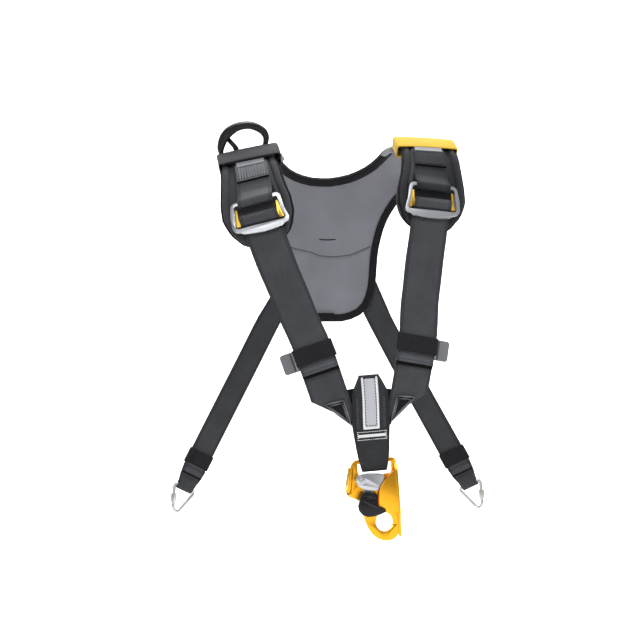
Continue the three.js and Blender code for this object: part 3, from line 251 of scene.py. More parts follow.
def strap_place(rows, along, across=0.0, out=0.0):
    """Point on a strap: along from the shoulder top, across and out from its rows."""
    rows = vector_rows(rows)
    after = next((i for i, row in enumerate(rows) if row[0] > along), len(rows) - 1)
    low, high = rows[max(after, 1) - 1], rows[max(after, 1)]
    share = (along - low[0]) / (high[0] - low[0])
    middle, side, front = (a.lerp(b, share) for a, b in zip(low[1:], high[1:]))
    return middle + across * side.normalized() + out * front.normalized()


def lay_out(mesh, rows):
    """UV map "cloth": u across and v along the strap, in metres."""
    spots = vector_rows(rows)
    flat = []
    for vert in mesh.vertices:
        best = None
        for low, high in zip(spots, spots[1:]):
            step = high[1] - low[1]
            share = (vert.co - low[1]).dot(step) / step.length_squared
            held = min(max(share, 0.0), 1.0)
            if low is spots[0]:
                held = min(share, 1.0)
            if high is spots[-1]:
                held = max(held, share)
            middle = low[1].lerp(high[1], held)
            away = (vert.co - middle).length
            if best is None or away < best[0]:
                side = low[2].lerp(high[2], held).normalized()
                along = low[0] + (high[0] - low[0]) * held
                best = (away, (vert.co - middle).dot(side), along)
        flat.append(best[1:])
    layer = mesh.uv_layers.new(name="cloth")
    for loop in mesh.loops:
        layer.data[loop.index].uv = flat[loop.vertex_index]


def round_edges(piece, width, segments=2, angle=40):
    """Rounds the edges of a piece that turn by more than the angle."""
    bevel = piece.modifiers.new("soft_edges", "BEVEL")
    bevel.width = width
    bevel.segments = segments
    bevel.limit_method = "ANGLE"
    bevel.angle_limit = math.radians(angle)
    return bevel


def made_piece(name, shape, finish, body="harness", soften=0.0, rows=None):
    """A new piece that rides on a body; rows lay it out along a strap."""
    mesh = bpy.data.meshes.new(name)
    shape.to_mesh(mesh)
    shape.free()
    mesh.materials.append(finish.material)
    mesh.shade_smooth()
    piece = link(name, mesh)
    if soften:
        round_edges(piece, soften).harden_normals = True
    if rows:
        lay_out(mesh, rows)
    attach(piece, body)
    return piece


def soft_copy(node, finish, soften, rows=None, levels=0):
    """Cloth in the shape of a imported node, merged and softened at its edges."""
    shell = bmesh.new()
    shell.from_mesh(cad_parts[node].data)
    bmesh.ops.remove_doubles(shell, verts=shell.verts, dist=1e-6)
    bmesh.ops.dissolve_degenerate(shell, edges=shell.edges, dist=1e-6)
    piece = made_piece(f"{node}_cloth", shell, finish, rows=rows)
    round_edges(piece, soften)
    if levels:
        fine = piece.modifiers.new("smooth", "SUBSURF")
        fine.levels = fine.render_levels = levels
    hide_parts(node)
    return piece


def shade_of(colour, share):
    return tuple(share * part for part in colour[:3]) + (1.0,)


def webbing_finish(name, colour, half, rib=0.0011, fold=None):
    """Woven tape: yarns along it, a diagonal twill over them and two selvedges."""
    twill = 0.0021
    cloth = Finish(name, colour, 0.72, shine=0.16, sheen=0.05)
    across, along, _ = cloth.split(cloth.node("ShaderNodeUVMap", {"uv_map": "cloth"}))
    twills = ((across + along) / twill).wave()
    yarns = (across / rib).wave()
    picks = (along / (0.8 * rib)).wave()
    selvedge = abs(across).ease(half - 0.0034, half - 0.0026)
    weave = twills * (1 - selvedge) + yarns * 0.35 + picks * selvedge * 0.8
    worn = cloth.noise(38.0)
    shade = twills * 0.16 * (1 - selvedge) + worn * 0.34 + picks * 0.05
    # Where fold is given, the span along it is painted lighter: a painted highlight where the
    # tape bends over a bar.
    if fold:
        shade = shade + along.between(*fold, 0.0025) * 0.9
    body = cloth.blend(shade * 1.9, shade_of(colour, 0.55), shade_of(colour, 1.45))
    cloth.feed("Base Color", cloth.blend(selvedge * 0.7, body, shade_of(colour, 0.62)))
    cloth.feed("Roughness", 0.72 - twills * 0.14)
    cloth.bump(weave, 0.00022)
    return cloth


def grained_finish(name, colour, roughness, shine, grain, depth, detail=3.0):
    """One colour with a fine grain."""
    finish = Finish(name, colour, roughness, shine=shine)
    finish.bump(finish.noise(grain, detail), depth)
    return finish


def thread_finish(name, colour, roughness=0.6, shine=0.3):
    return grained_finish(name, colour, roughness, shine, grain=2600.0, depth=0.00008)


def slab(across_steps, along_steps):
    """A grid from -1 to 1 both ways with a wall 1 high, to be laid in its place."""
    sheet = bmesh.new()
    bmesh.ops.create_grid(sheet, x_segments=across_steps, y_segments=along_steps, size=1)
    lifted = bmesh.ops.extrude_face_region(sheet, geom=sheet.faces[:])["geom"]
    raised = [part for part in lifted if isinstance(part, bmesh.types.BMVert)]
    bmesh.ops.translate(sheet, verts=raised, vec=(0, 0, 1))
    return sheet


def lay_cloth(rows, start, end, half, out, wall, steps, shift=0.0, waist=0.0):
    """Cloth laid on a strap between two distances along it, with its own wall."""
    cloth = slab(4, steps)
    for vert in cloth.verts:
        across, share, high = vert.co.x, (vert.co.y + 1) / 2, vert.co.z
        along = start + (end - start) * share
        lift = out(along) if callable(out) else out
        vert.co = strap_place(
            rows, along, shift + across * (half - waist * math.sin(math.pi * share)),
            lift + wall * high)
    bmesh.ops.recalc_face_normals(cloth, faces=cloth.faces[:])
    return cloth


def stitch(threads, start, end, out, thick):
    """One stitch of thread, which dives into the cloth at both ends."""
    line = end - start
    out = (out - line * (out.dot(line) / line.length_squared)).normalized()
    side = line.normalized().cross(out)
    turn = Matrix((side, out, line.normalized())).transposed().to_4x4()
    size = Matrix.Diagonal((thick, thick * 0.8, line.length, 1.0))
    bmesh.ops.create_uvsphere(
        threads, u_segments=6, v_segments=5, radius=0.5,
        matrix=Matrix.Translation((start + end) / 2) @ turn @ size)


def seam(threads, points, outs, pitch, thick, share=0.72):
    """Stitches along a line of points on a cloth, with the way out of the cloth at each."""
    for start, end, out in zip(points, points[1:], outs):
        count = max(1, round((end - start).length / pitch))
        for i in range(count):
            first = start.lerp(end, (i + 0.5 - share / 2) / count)
            last = start.lerp(end, (i + 0.5 + share / 2) / count)
            stitch(threads, first, last, out, thick)


def strap_seam(threads, rows, start, end, across, out, pitch, thick, to=None, share=0.72):
    """A seam on a strap from one distance along it to another."""
    to = across if to is None else to
    count = max(1, round(max(abs(end - start), abs(to - across)) / 0.012))
    spots = [(start + (end - start) * i / count, across + (to - across) * i / count)
             for i in range(count + 1)]
    points = [strap_place(rows, along, place, out) for along, place in spots]
    outs = [strap_place(rows, along, place, out + 0.01) - point
            for (along, place), point in zip(spots, points)]
    seam(threads, points, outs, pitch, thick, share)


def cross_seam(threads, rows, along, left, right, out, pitch, thick, share=0.72):
    """A seam straight across a strap."""
    strap_seam(threads, rows, along, along, left, out, pitch, thick, right, share)


main_half = 0.0205
# The fold span on the main webbing is a painted highlight where the strap bends over the
# slider bar.
main_webbing = webbing_finish(
    "main_webbing", tint(64, 65, 68), main_half, fold=(0.1005, 0.1070))
hem_webbing = webbing_finish("hem_webbing", tint(80, 81, 85), main_half)
# Strips at the cut ends of webbing layers: the ends are real, and their near-black colour is
# painted shade under each layer's edge.
cut_edge_and_shade = grained_finish("cut_edge_and_shade", tint(8, 8, 9), 0.7, 0.1, grain=900.0, depth=0.0001)
black_thread = thread_finish("black_thread", tint(22, 22, 24))
for side, rows in (("right", right_front), ("left", left_front)):
    soft_copy(f"{side}_front_strap", main_webbing, soften=0.0005, rows=rows)
    made_piece(
        f"{side}_tail_hem",
        lay_cloth(rows, 0.2748, 0.2832, half=0.0203, out=0.0, wall=0.0012, steps=4),
        hem_webbing, soften=0.0004, rows=rows)
    # The tail's cut end, painted near black as painted shade below its edge.
    made_piece(
        f"{side}_tail_cut",
        lay_cloth(rows, 0.2834, 0.2866, half=0.0206, out=-0.0019, wall=0.0028, steps=2),
        cut_edge_and_shade, soften=0.0003)
    threads = bmesh.new()
    for along in (0.2762, 0.2806):
        cross_seam(threads, rows, along, -0.0185, 0.0185, out=0.00125, pitch=0.0021,
                   thick=0.0008)
    made_piece(f"{side}_tail_stitches", threads, black_thread)


# Shoulder webbing: a narrower tape from the back of the wing over the pad and round the
# buckle's top bar, folded back on itself. The fold is held by a sewn patch, whose cloth
# is lighter on the right shoulder. A lighter piece of webbing on the patch near the band
# is a painted highlight where it bends, and the loop round the top bar is painted lighter
# as a painted highlight too.
right_shoulder = (
    # distance along, middle, way across, way out
    (-0.0580, (-0.1067, 0.0585, -0.0242), (-0.968, -0.132, -0.212), (-0.244, 0.685, 0.687)),
    (-0.0445, (-0.1062, 0.0473, -0.0142), (-0.973, -0.092, -0.210), (-0.224, 0.562, 0.796)),
    (-0.0311, (-0.1057, 0.0346, -0.0064), (-0.976, -0.062, -0.206), (-0.213, 0.428, 0.878)),
    (-0.0176, (-0.1051, 0.0201, -0.0009), (-0.978, -0.032, -0.208), (-0.210, 0.238, 0.948)),
    (-0.0042, (-0.1043, 0.0051, 0.0016), (-0.978, -0.008, -0.211), (-0.211, 0.058, 0.976)),
    (0.0093, (-0.1033, -0.0103, 0.0012), (-0.978, 0.018, -0.208), (-0.209, -0.137, 0.968)),
    (0.0227, (-0.1021, -0.0256, -0.0026), (-0.978, 0.049, -0.201), (-0.205, -0.362, 0.909)),
    (0.0362, (-0.1007, -0.0393, -0.0094), (-0.977, 0.071, -0.200), (-0.206, -0.525, 0.826)),
    (0.0496, (-0.0995, -0.0516, -0.0186), (-0.973, 0.089, -0.212), (-0.194, -0.678, 0.709)),
    (0.0631, (-0.0984, -0.0617, -0.0301), (-0.965, 0.111, -0.236), (-0.200, -0.795, 0.573)),
    (0.0765, (-0.0976, -0.0698, -0.0421), (-0.956, 0.141, -0.258), (-0.227, -0.844, 0.486)),
    (0.0900, (-0.0965, -0.0767, -0.0551), (-0.949, 0.177, -0.261), (-0.254, -0.894, 0.369)),
)
left_shoulder = (
    # distance along, middle, way across, way out
    (-0.0580, (0.1092, 0.0585, -0.0072), (0.990, -0.132, -0.058), (0.133, 0.685, 0.716)),
    (-0.0445, (0.1071, 0.0473, 0.0026), (0.994, -0.092, -0.055), (0.097, 0.562, 0.821)),
    (-0.0311, (0.1054, 0.0346, 0.0103), (0.997, -0.062, -0.051), (0.073, 0.428, 0.901)),
    (-0.0176, (0.1039, 0.0201, 0.0156), (0.998, -0.032, -0.053), (0.059, 0.238, 0.970)),
    (-0.0042, (0.1028, 0.0051, 0.0179), (0.998, -0.008, -0.055), (0.056, 0.058, 0.997)),
    (0.0093, (0.1019, -0.0103, 0.0173), (0.998, 0.018, -0.053), (0.055, -0.137, 0.989)),
    (0.0227, (0.1013, -0.0256, 0.0134), (0.998, 0.049, -0.046), (0.060, -0.362, 0.930)),
    (0.0362, (0.1010, -0.0393, 0.0065), (0.996, 0.071, -0.045), (0.076, -0.525, 0.848)),
    (0.0496, (0.1007, -0.0516, -0.0029), (0.994, 0.090, -0.058), (0.124, -0.673, 0.729)),
    (0.0631, (0.1004, -0.0617, -0.0144), (0.990, 0.113, -0.085), (0.171, -0.785, 0.595)),
    (0.0765, (0.1001, -0.0698, -0.0265), (0.984, 0.144, -0.109), (0.205, -0.833, 0.514)),
    (0.0900, (0.0997, -0.0767, -0.0397), (0.977, 0.179, -0.112), (0.223, -0.887, 0.404)),
)


def smooth_step(value, start, end):
    """0 before start and 1 after end, eased between."""
    share = min(max((value - start) / (end - start), 0.0), 1.0)
    return share * share * (3 - 2 * share)


def patch_lift(along):
    """The sewn patch steps up where the folded-back layer begins under it."""
    return 0.0002 + 0.0021 * smooth_step(along, 0.0425, 0.0470)


def fold_lift(along):
    """The fold piece, painted lighter as a painted highlight, lies on the patch."""
    return patch_lift(along) + 0.0012


shoulder_half = 0.0185
stitched_from, stitched_to, patch_face = 0.0475, 0.0625, 0.0040
patch_webbing = webbing_finish("patch_webbing", tint(102, 103, 107), shoulder_half)
# A lighter copy of the shoulder webbing: painted highlight on the fold near the band.
painted_highlight_webbing = webbing_finish("painted_highlight_webbing", tint(142, 143, 147), shoulder_half)
for side, rows, level in (("right", right_shoulder, 68), ("left", left_shoulder, 40)):
    # The fold span is painted lighter: a painted highlight on the webbing's loop round the
    # buckle's top bar.
    shoulder_webbing = webbing_finish(
        f"{side}_shoulder_webbing", tint(level, level + 1, level + 4), shoulder_half,
        fold=(0.0790, 0.0860))
    soft_copy(f"{side}_shoulder_webbing", shoulder_webbing, soften=0.0005,
              rows=rows)
    # The fold piece near the band is painted lighter, as a painted highlight.
    made_piece(
        f"{side}_shoulder_fold",
        lay_cloth(rows, 0.0365, 0.0452, half=0.0168, out=fold_lift, wall=0.0012, steps=6,
                  waist=0.001),
        painted_highlight_webbing, soften=0.0008, rows=rows)
    made_piece(
        f"{side}_sewn_patch",
        lay_cloth(rows, 0.0400, 0.0642, half=0.0180, out=patch_lift, wall=0.0015, steps=14),
        patch_webbing if side == "right" else shoulder_webbing, soften=0.0005,
        rows=rows)
    # The patch's cut end, painted near black as painted shade below its edge.
    made_piece(
        f"{side}_patch_cut",
        lay_cloth(rows, 0.0643, 0.0656, half=0.0183, out=0.0021, wall=0.0019, steps=2),
        cut_edge_and_shade, soften=0.0004)
    threads = bmesh.new()
    for i in range(11):
        strap_seam(threads, rows, stitched_from, stitched_to, -0.0155 + 0.0031 * i,
                   out=patch_face, pitch=0.0028, thick=0.0011 if i > 6 else 0.0007)
    for along in (stitched_from, stitched_to):
        cross_seam(threads, rows, along, -0.0160, 0.0160, out=patch_face, pitch=0.0024,
                   thick=0.0009)
    made_piece(f"{side}_patch_stitches", threads, black_thread)


# Rear straps: narrow webbing from the crossing on the yoke's back, folded through the
# screw links and sewn down with two rows of black thread. A black flap shows between
# the keeper and the fold.
right_rear = (
    # distance along, middle, way across, way out
    (-0.0200, (0.0126, 0.0913, -0.0439), (-0.889, -0.190, 0.417), (0.003, 0.912, 0.410)),
    (0.0507, (-0.0195, 0.1109, -0.1093), (-0.893, -0.153, 0.424), (-0.058, 0.978, 0.199)),
    (0.0860, (-0.0371, 0.1147, -0.1422), (-0.885, -0.146, 0.441), (-0.098, 0.990, 0.106)),
    (0.1213, (-0.0557, 0.1149, -0.1743), (-0.878, -0.149, 0.454), (-0.141, 0.989, 0.031)),
    (0.1920, (-0.0900, 0.1078, -0.2373), (-0.871, -0.191, 0.453), (-0.224, 0.974, -0.021)),
    (0.2626, (-0.1230, 0.0959, -0.2996), (-0.857, -0.244, 0.455), (-0.300, 0.952, -0.056)),
    (0.3333, (-0.1561, 0.0807, -0.3616), (-0.838, -0.313, 0.447), (-0.371, 0.927, -0.046)),
    (0.3686, (-0.1726, 0.0722, -0.3926), (-0.827, -0.345, 0.443), (-0.404, 0.914, -0.045)),
)
left_rear = (
    # distance along, middle, way across, way out
    (-0.0200, (-0.0062, 0.0913, -0.0452), (0.829, -0.187, 0.528), (-0.044, 0.914, 0.404)),
    (0.0507, (0.0282, 0.1109, -0.1073), (0.863, -0.146, 0.484), (0.063, 0.976, 0.208)),
    (0.0860, (0.0438, 0.1147, -0.1402), (0.871, -0.137, 0.472), (0.107, 0.988, 0.115)),
    (0.1213, (0.0584, 0.1149, -0.1734), (0.879, -0.138, 0.457), (0.146, 0.989, 0.035)),
    (0.1920, (0.0900, 0.1078, -0.2373), (0.871, -0.191, 0.453), (0.224, 0.974, -0.021)),
    (0.2626, (0.1230, 0.0959, -0.2996), (0.857, -0.244, 0.455), (0.300, 0.952, -0.056)),
    (0.3333, (0.1561, 0.0807, -0.3616), (0.838, -0.313, 0.447), (0.371, 0.927, -0.046)),
    (0.3686, (0.1726, 0.0722, -0.3926), (0.827, -0.345, 0.443), (0.404, 0.914, -0.045)),
)


def inner_face(along):
    """How far a rear strap's inner face lies behind its rows, towards the wearer."""
    return -0.0017 - 0.0044 * max(0.0, along - 0.3367) / 0.0275


rear_half = 0.01375
rear_webbing = webbing_finish("rear_webbing", tint(58, 59, 62), rear_half, rib=0.001)
rear_hem = webbing_finish("rear_hem", tint(70, 71, 75), rear_half, rib=0.001)
flap_cloth = webbing_finish("flap_cloth", tint(26, 26, 29), 0.05, rib=0.0016)
for side, rows in (("right", right_rear), ("left", left_rear)):
    soft_copy(f"{side}_rear_strap", rear_webbing, soften=0.0005, rows=rows)
for side, rows, half, shift in (("right", right_rear, 0.0112, -0.0028),
                                ("left", left_rear, 0.0088, 0.0052)):
    made_piece(
        f"{side}_rear_flap",
        lay_cloth(rows, 0.3192, 0.3338, half, out=-0.0044, wall=0.0011, steps=4, shift=shift),
        flap_cloth, soften=0.0004, rows=rows)
    threads = bmesh.new()
    for along in (0.3395, 0.3530):
        cross_seam(threads, rows, along, -0.0112, 0.0112, out=inner_face(along) - 0.0012,
                   pitch=0.0022, thick=0.0008)
    made_piece(f"{side}_rear_stitches", threads, black_thread)
    # The rear strap's cut end is painted near black as painted shade below its edge.
    for name, start, end, half, wall, finish in (
            ("end", 0.3350, 0.3478, 0.0130, 0.0012, rear_hem),
            ("cut", 0.3478, 0.3494, 0.0132, 0.0016, cut_edge_and_shade)):
        made_piece(
            f"{side}_rear_{name}",
            lay_cloth(rows, start, end, half, lambda along: inner_face(along) - wall,
                      wall, steps=6),
            finish, soften=0.0004, rows=rows)


# Sternal loop: one piece of webbing sewn into a loop round the ascender's top bar. A
# white bar tack closes it above the bar, and two columns of dull stitching hold it to
# the straps on either side of the label strip.
loop_rows = (
    # distance along, middle, way across, way out
    (0.2919, (0.0227, -0.1307, -0.2453), (0.997, 0.000, 0.078), (-0.006, -0.997, 0.081)),
    (0.3177, (0.0245, -0.1324, -0.2717), (0.997, 0.000, 0.078), (-0.002, -0.999, 0.044)),
    (0.3435, (0.0251, -0.1332, -0.2980), (0.997, 0.000, 0.078), (-0.001, -1.000, 0.022)),
    (0.3692, (0.0270, -0.1334, -0.3242), (0.997, 0.000, 0.078), (0.000, -1.000, -0.006)),
    (0.3950, (0.0290, -0.1332, -0.3498), (0.997, 0.000, 0.078), (0.000, -1.000, -0.000)),
)
loop_webbing = webbing_finish("loop_webbing", tint(47, 48, 50), 0.019)
soft_copy("sternal_loop", loop_webbing, soften=0.0005, rows=loop_rows)
white_thread = thread_finish("white_thread", tint(226, 226, 226), roughness=0.55)
tack_threads, tack_half = 52, 0.0148
threads = bmesh.new()
for i in range(tack_threads):
    strap_seam(threads, loop_rows, 0.3540, 0.3588,
               tack_half * (2 * i / (tack_threads - 1) - 1), out=-0.0018, pitch=0.0048,
               thick=0.0012)
for along in (0.3522, 0.3606):
    cross_seam(threads, loop_rows, along, -0.0150, 0.0150, out=-0.0019, pitch=0.0024,
               thick=0.0009, share=0.96)
for across in (-0.0156, 0.0156):
    for i in range(5):
        start = 0.3514 + 0.0021 * i
        strap_seam(threads, loop_rows, start, start + 0.0014, across, out=-0.0018,
                   pitch=0.0016, thick=0.0019)
made_piece("bar_tack", threads, white_thread)
threads = bmesh.new()
for across in (-0.0146, 0.0146):
    for i in range(14):
        cross_seam(threads, loop_rows, 0.3170 + 0.0023 * i, across - 0.0024,
                   across + 0.0024, out=-0.0025, pitch=0.0048, thick=0.0015)
dull_thread = thread_finish("dull_thread", tint(76, 77, 80), shine=0.2)
made_piece("loop_stitches", threads, dull_thread)


# Back yoke: foam between two layers of smooth grey cloth, with a sewn crease across it
# and a short slit above the crease.
def cloth_finish(name, colour, thread=0.0009, roughness=0.8):
    """Plain cloth: a fine weave on Object coordinates, worn in broad patches."""
    cloth = Finish(name, colour, roughness, shine=0.14, sheen=0.06)
    x, y, z = cloth.split(cloth.place())
    weave = ((x + y) / thread).wave() * ((z - y * 0.6) / thread).wave()
    worn = cloth.noise(24.0)
    fine = cloth.noise(900.0, 2.0)
    cloth.feed("Base Color", cloth.blend(
        worn * 0.75 + weave * 0.16 + fine * 0.12, shade_of(colour, 0.72),
        shade_of(colour, 1.25)))
    cloth.bump(weave + fine * 0.6, 0.00012)
    return cloth


yoke_cloth = cloth_finish("yoke_cloth", tint(124, 125, 131))
yoke = soft_copy("back_yoke", yoke_cloth, soften=0.001, levels=1)
yoke_front = BVHTree.FromObject(yoke, bpy.context.evaluated_depsgraph_get())


def on_yoke(x, z):
    """Point on the yoke's inner face, which lies against the back, and the way off it."""
    point, off, _, _ = yoke_front.ray_cast(Vector((x, -0.02, z)), Vector((0, 1, 0)))
    return point, off


def add_cord(shape, points, outs, width, height, taper=True):
    """A closed cord or rib through points, with the way out at each or one for all."""
    points = [Vector(point) for point in points]
    if isinstance(outs, Vector):
        outs = [outs] * len(points)
    loops = []
    last = len(points) - 1
    for i, (point, out) in enumerate(zip(points, outs)):
        way = (points[min(i + 1, last)] - points[max(i - 1, 0)]).normalized()
        side = way.cross(out).normalized()
        front = side.cross(way).normalized()
        thin = 0.35 if taper and i in (0, last) else 1.0
        ring = bmesh.ops.create_circle(shape, segments=10, radius=0.5)["verts"]
        for vert in ring:
            vert.co = (point + side * (vert.co.x * width * thin)
                       + front * (vert.co.y * height * thin))
        loops.append(list({edge for vert in ring for edge in vert.link_edges}))
    for first, second in zip(loops, loops[1:]):
        bmesh.ops.bridge_loops(shape, edges=first + second)
    for end in (loops[0], loops[-1]):
        bmesh.ops.contextual_create(shape, geom=end)
    bmesh.ops.recalc_face_normals(shape, faces=shape.faces[:])


yoke_thread = thread_finish("yoke_thread", tint(66, 66, 70), shine=0.2)
seam_line = [(-0.0500, -0.1035), (-0.0343, -0.1079), (-0.0184, -0.1115), (-0.0050, -0.1163),
             (0.0120, -0.1175), (0.0300, -0.1151), (0.0501, -0.1067), (0.0560, -0.1035)]
seam_spots = []
for (x0, z0), (x1, z1) in zip(seam_line, seam_line[1:]):
    for i in range(4):
        point, off = on_yoke(x0 + (x1 - x0) * i / 4, z0 + (z1 - z0) * i / 4)
        if point:
            seam_spots.append((point, off))
points, outs = zip(*seam_spots)
crease = bmesh.new()
add_cord(crease, points, outs, width=0.0011, height=0.0005)
made_piece("yoke_seam", crease, yoke_thread)
threads = bmesh.new()
below = Vector((0, 0, -0.0022))
seam(threads, [point + below + 0.0001 * off for point, off in seam_spots], outs,
     pitch=0.0034, thick=0.0005, share=0.7)
made_piece("yoke_stitches", threads, yoke_thread)
points, outs = zip(*(
    on_yoke(-0.0085 + 0.0215 * i / 6, -0.0962 - 0.0008 * math.sin(i / 2)) for i in range(7)))
slit = bmesh.new()
add_cord(slit, points, outs, width=0.0016, height=0.0008)
slit_cloth = grained_finish(
    "slit_cloth", tint(30, 30, 33), 0.8, 0.1, grain=900.0, depth=0.0001)
made_piece("yoke_slit", slit, slit_cloth)


# Bindings, waist tab and gussets: black woven tape, folded over the yoke's edges, sewn
# flat at its lower edge, or sewn over the straps' ends.
tape = cloth_finish("black_tape", tint(24, 24, 27), thread=0.0011, roughness=0.85)
for node in ("neck_binding", "body_binding", "waist_tab", "right_gusset", "left_gusset"):
    soft_copy(node, tape, soften=0.0005)


# Keepers: black ribbed elastic sewn into rings, which hold each strap's tail down by
# their own stretch.
elastic = Finish("ribbed_elastic", tint(27, 27, 30), 0.8, shine=0.14)
across, along, _ = elastic.split(elastic.node("ShaderNodeUVMap", {"uv_map": "cloth"}))
ribs = (along / 0.0019).wave()
knit = (across / 0.0012).wave()
elastic.feed("Base Color", elastic.blend(
    ribs * 0.5 + knit * 0.2 + elastic.noise(60.0) * 0.3, tint(17, 17, 19), tint(44, 44, 48)))
elastic.bump(ribs + knit * 0.3, 0.0003)
for node, rows in (("right_keeper", right_front), ("left_keeper", left_front),
                   ("right_rear_keeper", right_rear), ("left_rear_keeper", left_rear)):
    soft_copy(node, elastic, soften=0.0006, rows=rows)


# Junction: a black cloth behind the loop joins both straps. Each gusset over a strap's
# end has a corded edge, an inner fold and a row of black stitches between them.
def front_normal(origin, first, second):
    """The way out of a flat piece, away from the wearer."""
    out = (first - origin).cross(second - origin).normalized()
    return out if out.y < 0 else -out


web = slab(10, 6)
for vert in web.verts:
    across, down = (vert.co.x + 1) / 2, (1 - vert.co.y) / 2
    right_edge, left_edge = -0.0100 + 0.0130 * down, 0.0600 - 0.0125 * down
    sag = math.sin(math.pi * across)
    vert.co = Vector((
        right_edge + (left_edge - right_edge) * across,
        -0.1238 + 0.0026 * sag - 0.0010 * down - 0.0012 * vert.co.z,
        -0.2630 + 0.004 * sag * (1 - down) - 0.0370 * down))
bmesh.ops.recalc_face_normals(web, faces=web.faces[:])
made_piece("junction_cloth", web, tape, soften=0.0003)
grey_thread = thread_finish("grey_thread", tint(104, 105, 110))
for side, corners in (
        ("right", ((-0.0262, -0.1266, -0.2772), (-0.0048, -0.1287, -0.2720),
                   (0.0044, -0.1302, -0.3015))),
        ("left", ((0.0756, -0.1266, -0.2692), (0.0538, -0.1287, -0.2674),
                  (0.0460, -0.1302, -0.2982)))):
    corners = [Vector(corner) for corner in corners]
    centre = sum(corners, Vector()) / 3
    out = front_normal(*corners)
    for name, share, width, height in (
            ("edge", 0.92, 0.0022, 0.0014), ("fold", 0.66, 0.0012, 0.0009)):
        path = [centre.lerp(corner, share) + 0.0004 * out for corner in corners]
        rib = bmesh.new()
        for first, last in zip(path, path[1:] + path[:1]):
            add_cord(rib, (first, first.lerp(last, 0.5), last), out, width, height)
        made_piece(f"{side}_gusset_{name}", rib, grey_thread)
    threads = bmesh.new()
    path = [centre.lerp(corner, 0.80) + 0.0004 * out for corner in corners]
    seam(threads, path + path[:1], [out] * 3, pitch=0.0030, thick=0.0008, share=0.7)
    made_piece(f"{side}_gusset_stitches", threads, black_thread)


# Shoulder pads: foam in dark cloth, with a raised ribbed rim round a recessed middle and
# a piped edge. Each pad's edges are points down its neck side and its arm side, at the
# rim's height.
right_pad_edges = (
    # neck side, arm side
    ((-0.0754, 0.0170, 0.0071), (-0.1332, 0.0155, -0.0052)),
    ((-0.0746, -0.0038, 0.0087), (-0.1338, -0.0031, -0.0040)),
    ((-0.0738, -0.0251, 0.0048), (-0.1337, -0.0217, -0.0075)),
    ((-0.0719, -0.0440, -0.0043), (-0.1335, -0.0381, -0.0163)),
    ((-0.0689, -0.0606, -0.0172), (-0.1337, -0.0514, -0.0292)),
    ((-0.0653, -0.0735, -0.0321), (-0.1345, -0.0604, -0.0448)),
    ((-0.0596, -0.0842, -0.0477), (-0.1352, -0.0670, -0.0610)),
    ((-0.0566, -0.0914, -0.0645), (-0.1333, -0.0734, -0.0769)),
    ((-0.0601, -0.0966, -0.0810), (-0.1255, -0.0809, -0.0902)),
    ((-0.0721, -0.0983, -0.0945), (-0.1128, -0.0884, -0.1000)),
    ((-0.0885, -0.0964, -0.1022), (-0.0962, -0.0946, -0.1034)),
)
left_pad_edges = (
    # neck side, arm side
    ((0.0733, 0.0170, 0.0188), (0.1324, 0.0155, 0.0157)),
    ((0.0723, -0.0038, 0.0203), (0.1327, -0.0031, 0.0170)),
    ((0.0721, -0.0251, 0.0162), (0.1332, -0.0217, 0.0135)),
    ((0.0717, -0.0440, 0.0070), (0.1342, -0.0381, 0.0048)),
    ((0.0703, -0.0606, -0.0063), (0.1355, -0.0514, -0.0080)),
    ((0.0674, -0.0735, -0.0216), (0.1369, -0.0604, -0.0234)),
    ((0.0625, -0.0842, -0.0381), (0.1387, -0.0670, -0.0395)),
    ((0.0613, -0.0914, -0.0552), (0.1389, -0.0734, -0.0554)),
    ((0.0671, -0.0966, -0.0710), (0.1332, -0.0809, -0.0699)),
    ((0.0810, -0.0983, -0.0824), (0.1220, -0.0884, -0.0815)),
    ((0.0983, -0.0964, -0.0875), (0.1061, -0.0946, -0.0875)),
)
rib_cloth = cloth_finish("rib_cloth", tint(58, 59, 62), thread=0.0012)


def pad_frame(edges, row):
    """Neck-side and arm-side points, the way across and the way out at a row of a pad."""
    low = min(int(row), len(edges) - 2)
    neck, arm = (Vector(edges[low][i]).lerp(Vector(edges[low + 1][i]), row - low)
                 for i in (0, 1))
    down = Vector(edges[low + 1][0]) + Vector(edges[low + 1][1]) - Vector(
        edges[low][0]) - Vector(edges[low][1])
    across = (arm - neck).normalized()
    out = down.cross(across).normalized()
    return neck, arm, across, out if out.z - out.y > 0 else -out


def under_strap(row):
    """The ribs sink into the pad where the front strap leaves it."""
    return 0.0065 * smooth_step(row, 7.3, 8.8)


def pad_rib(edges, inset, width, height, sink, first=3.1, last=9.6, turn=True):
    """A rib down a pad's neck edge that may turn at its end and go up the arm edge."""
    down = [(first + (last - first) * i / 22, False) for i in range(23)]
    up = [(row, True) for row, _ in reversed(down)] if turn else []
    points, outs = [], []
    for row, on_arm in down + up:
        neck, arm, across, out = pad_frame(edges, row)
        held = min(inset, 0.46 * (arm - neck).length)
        edge = arm - across * held if on_arm else neck + across * held
        points.append(edge - out * (sink + under_strap(row)))
        outs.append(out)
    rib = bmesh.new()
    add_cord(rib, points, outs, width, height)
    return rib


for side, edges, shade in (("right", right_pad_edges, 60), ("left", left_pad_edges, 42)):
    pad_cloth = cloth_finish(f"{side}_pad_cloth", tint(shade, shade + 1, shade + 3), 0.0012)
    pad = soft_copy(f"{side}_shoulder_pad", pad_cloth, soften=0.001, levels=1)
    rim = made_piece(
        f"{side}_pad_rim",
        pad_rib(edges, inset=0.0052, width=0.0080, height=0.0050, sink=0.0010),
        pad_cloth)
    made_piece(
        f"{side}_pad_piping",
        pad_rib(edges, inset=0.0002, width=0.0026, height=0.0026, sink=0.0030),
        tape)
    neck_rib = made_piece(
        f"{side}_pad_neck_rib",
        pad_rib(edges, inset=0.0125, width=0.0062, height=0.0048, sink=0.0014, first=3.0,
                last=5.9, turn=False),
        rib_cloth)


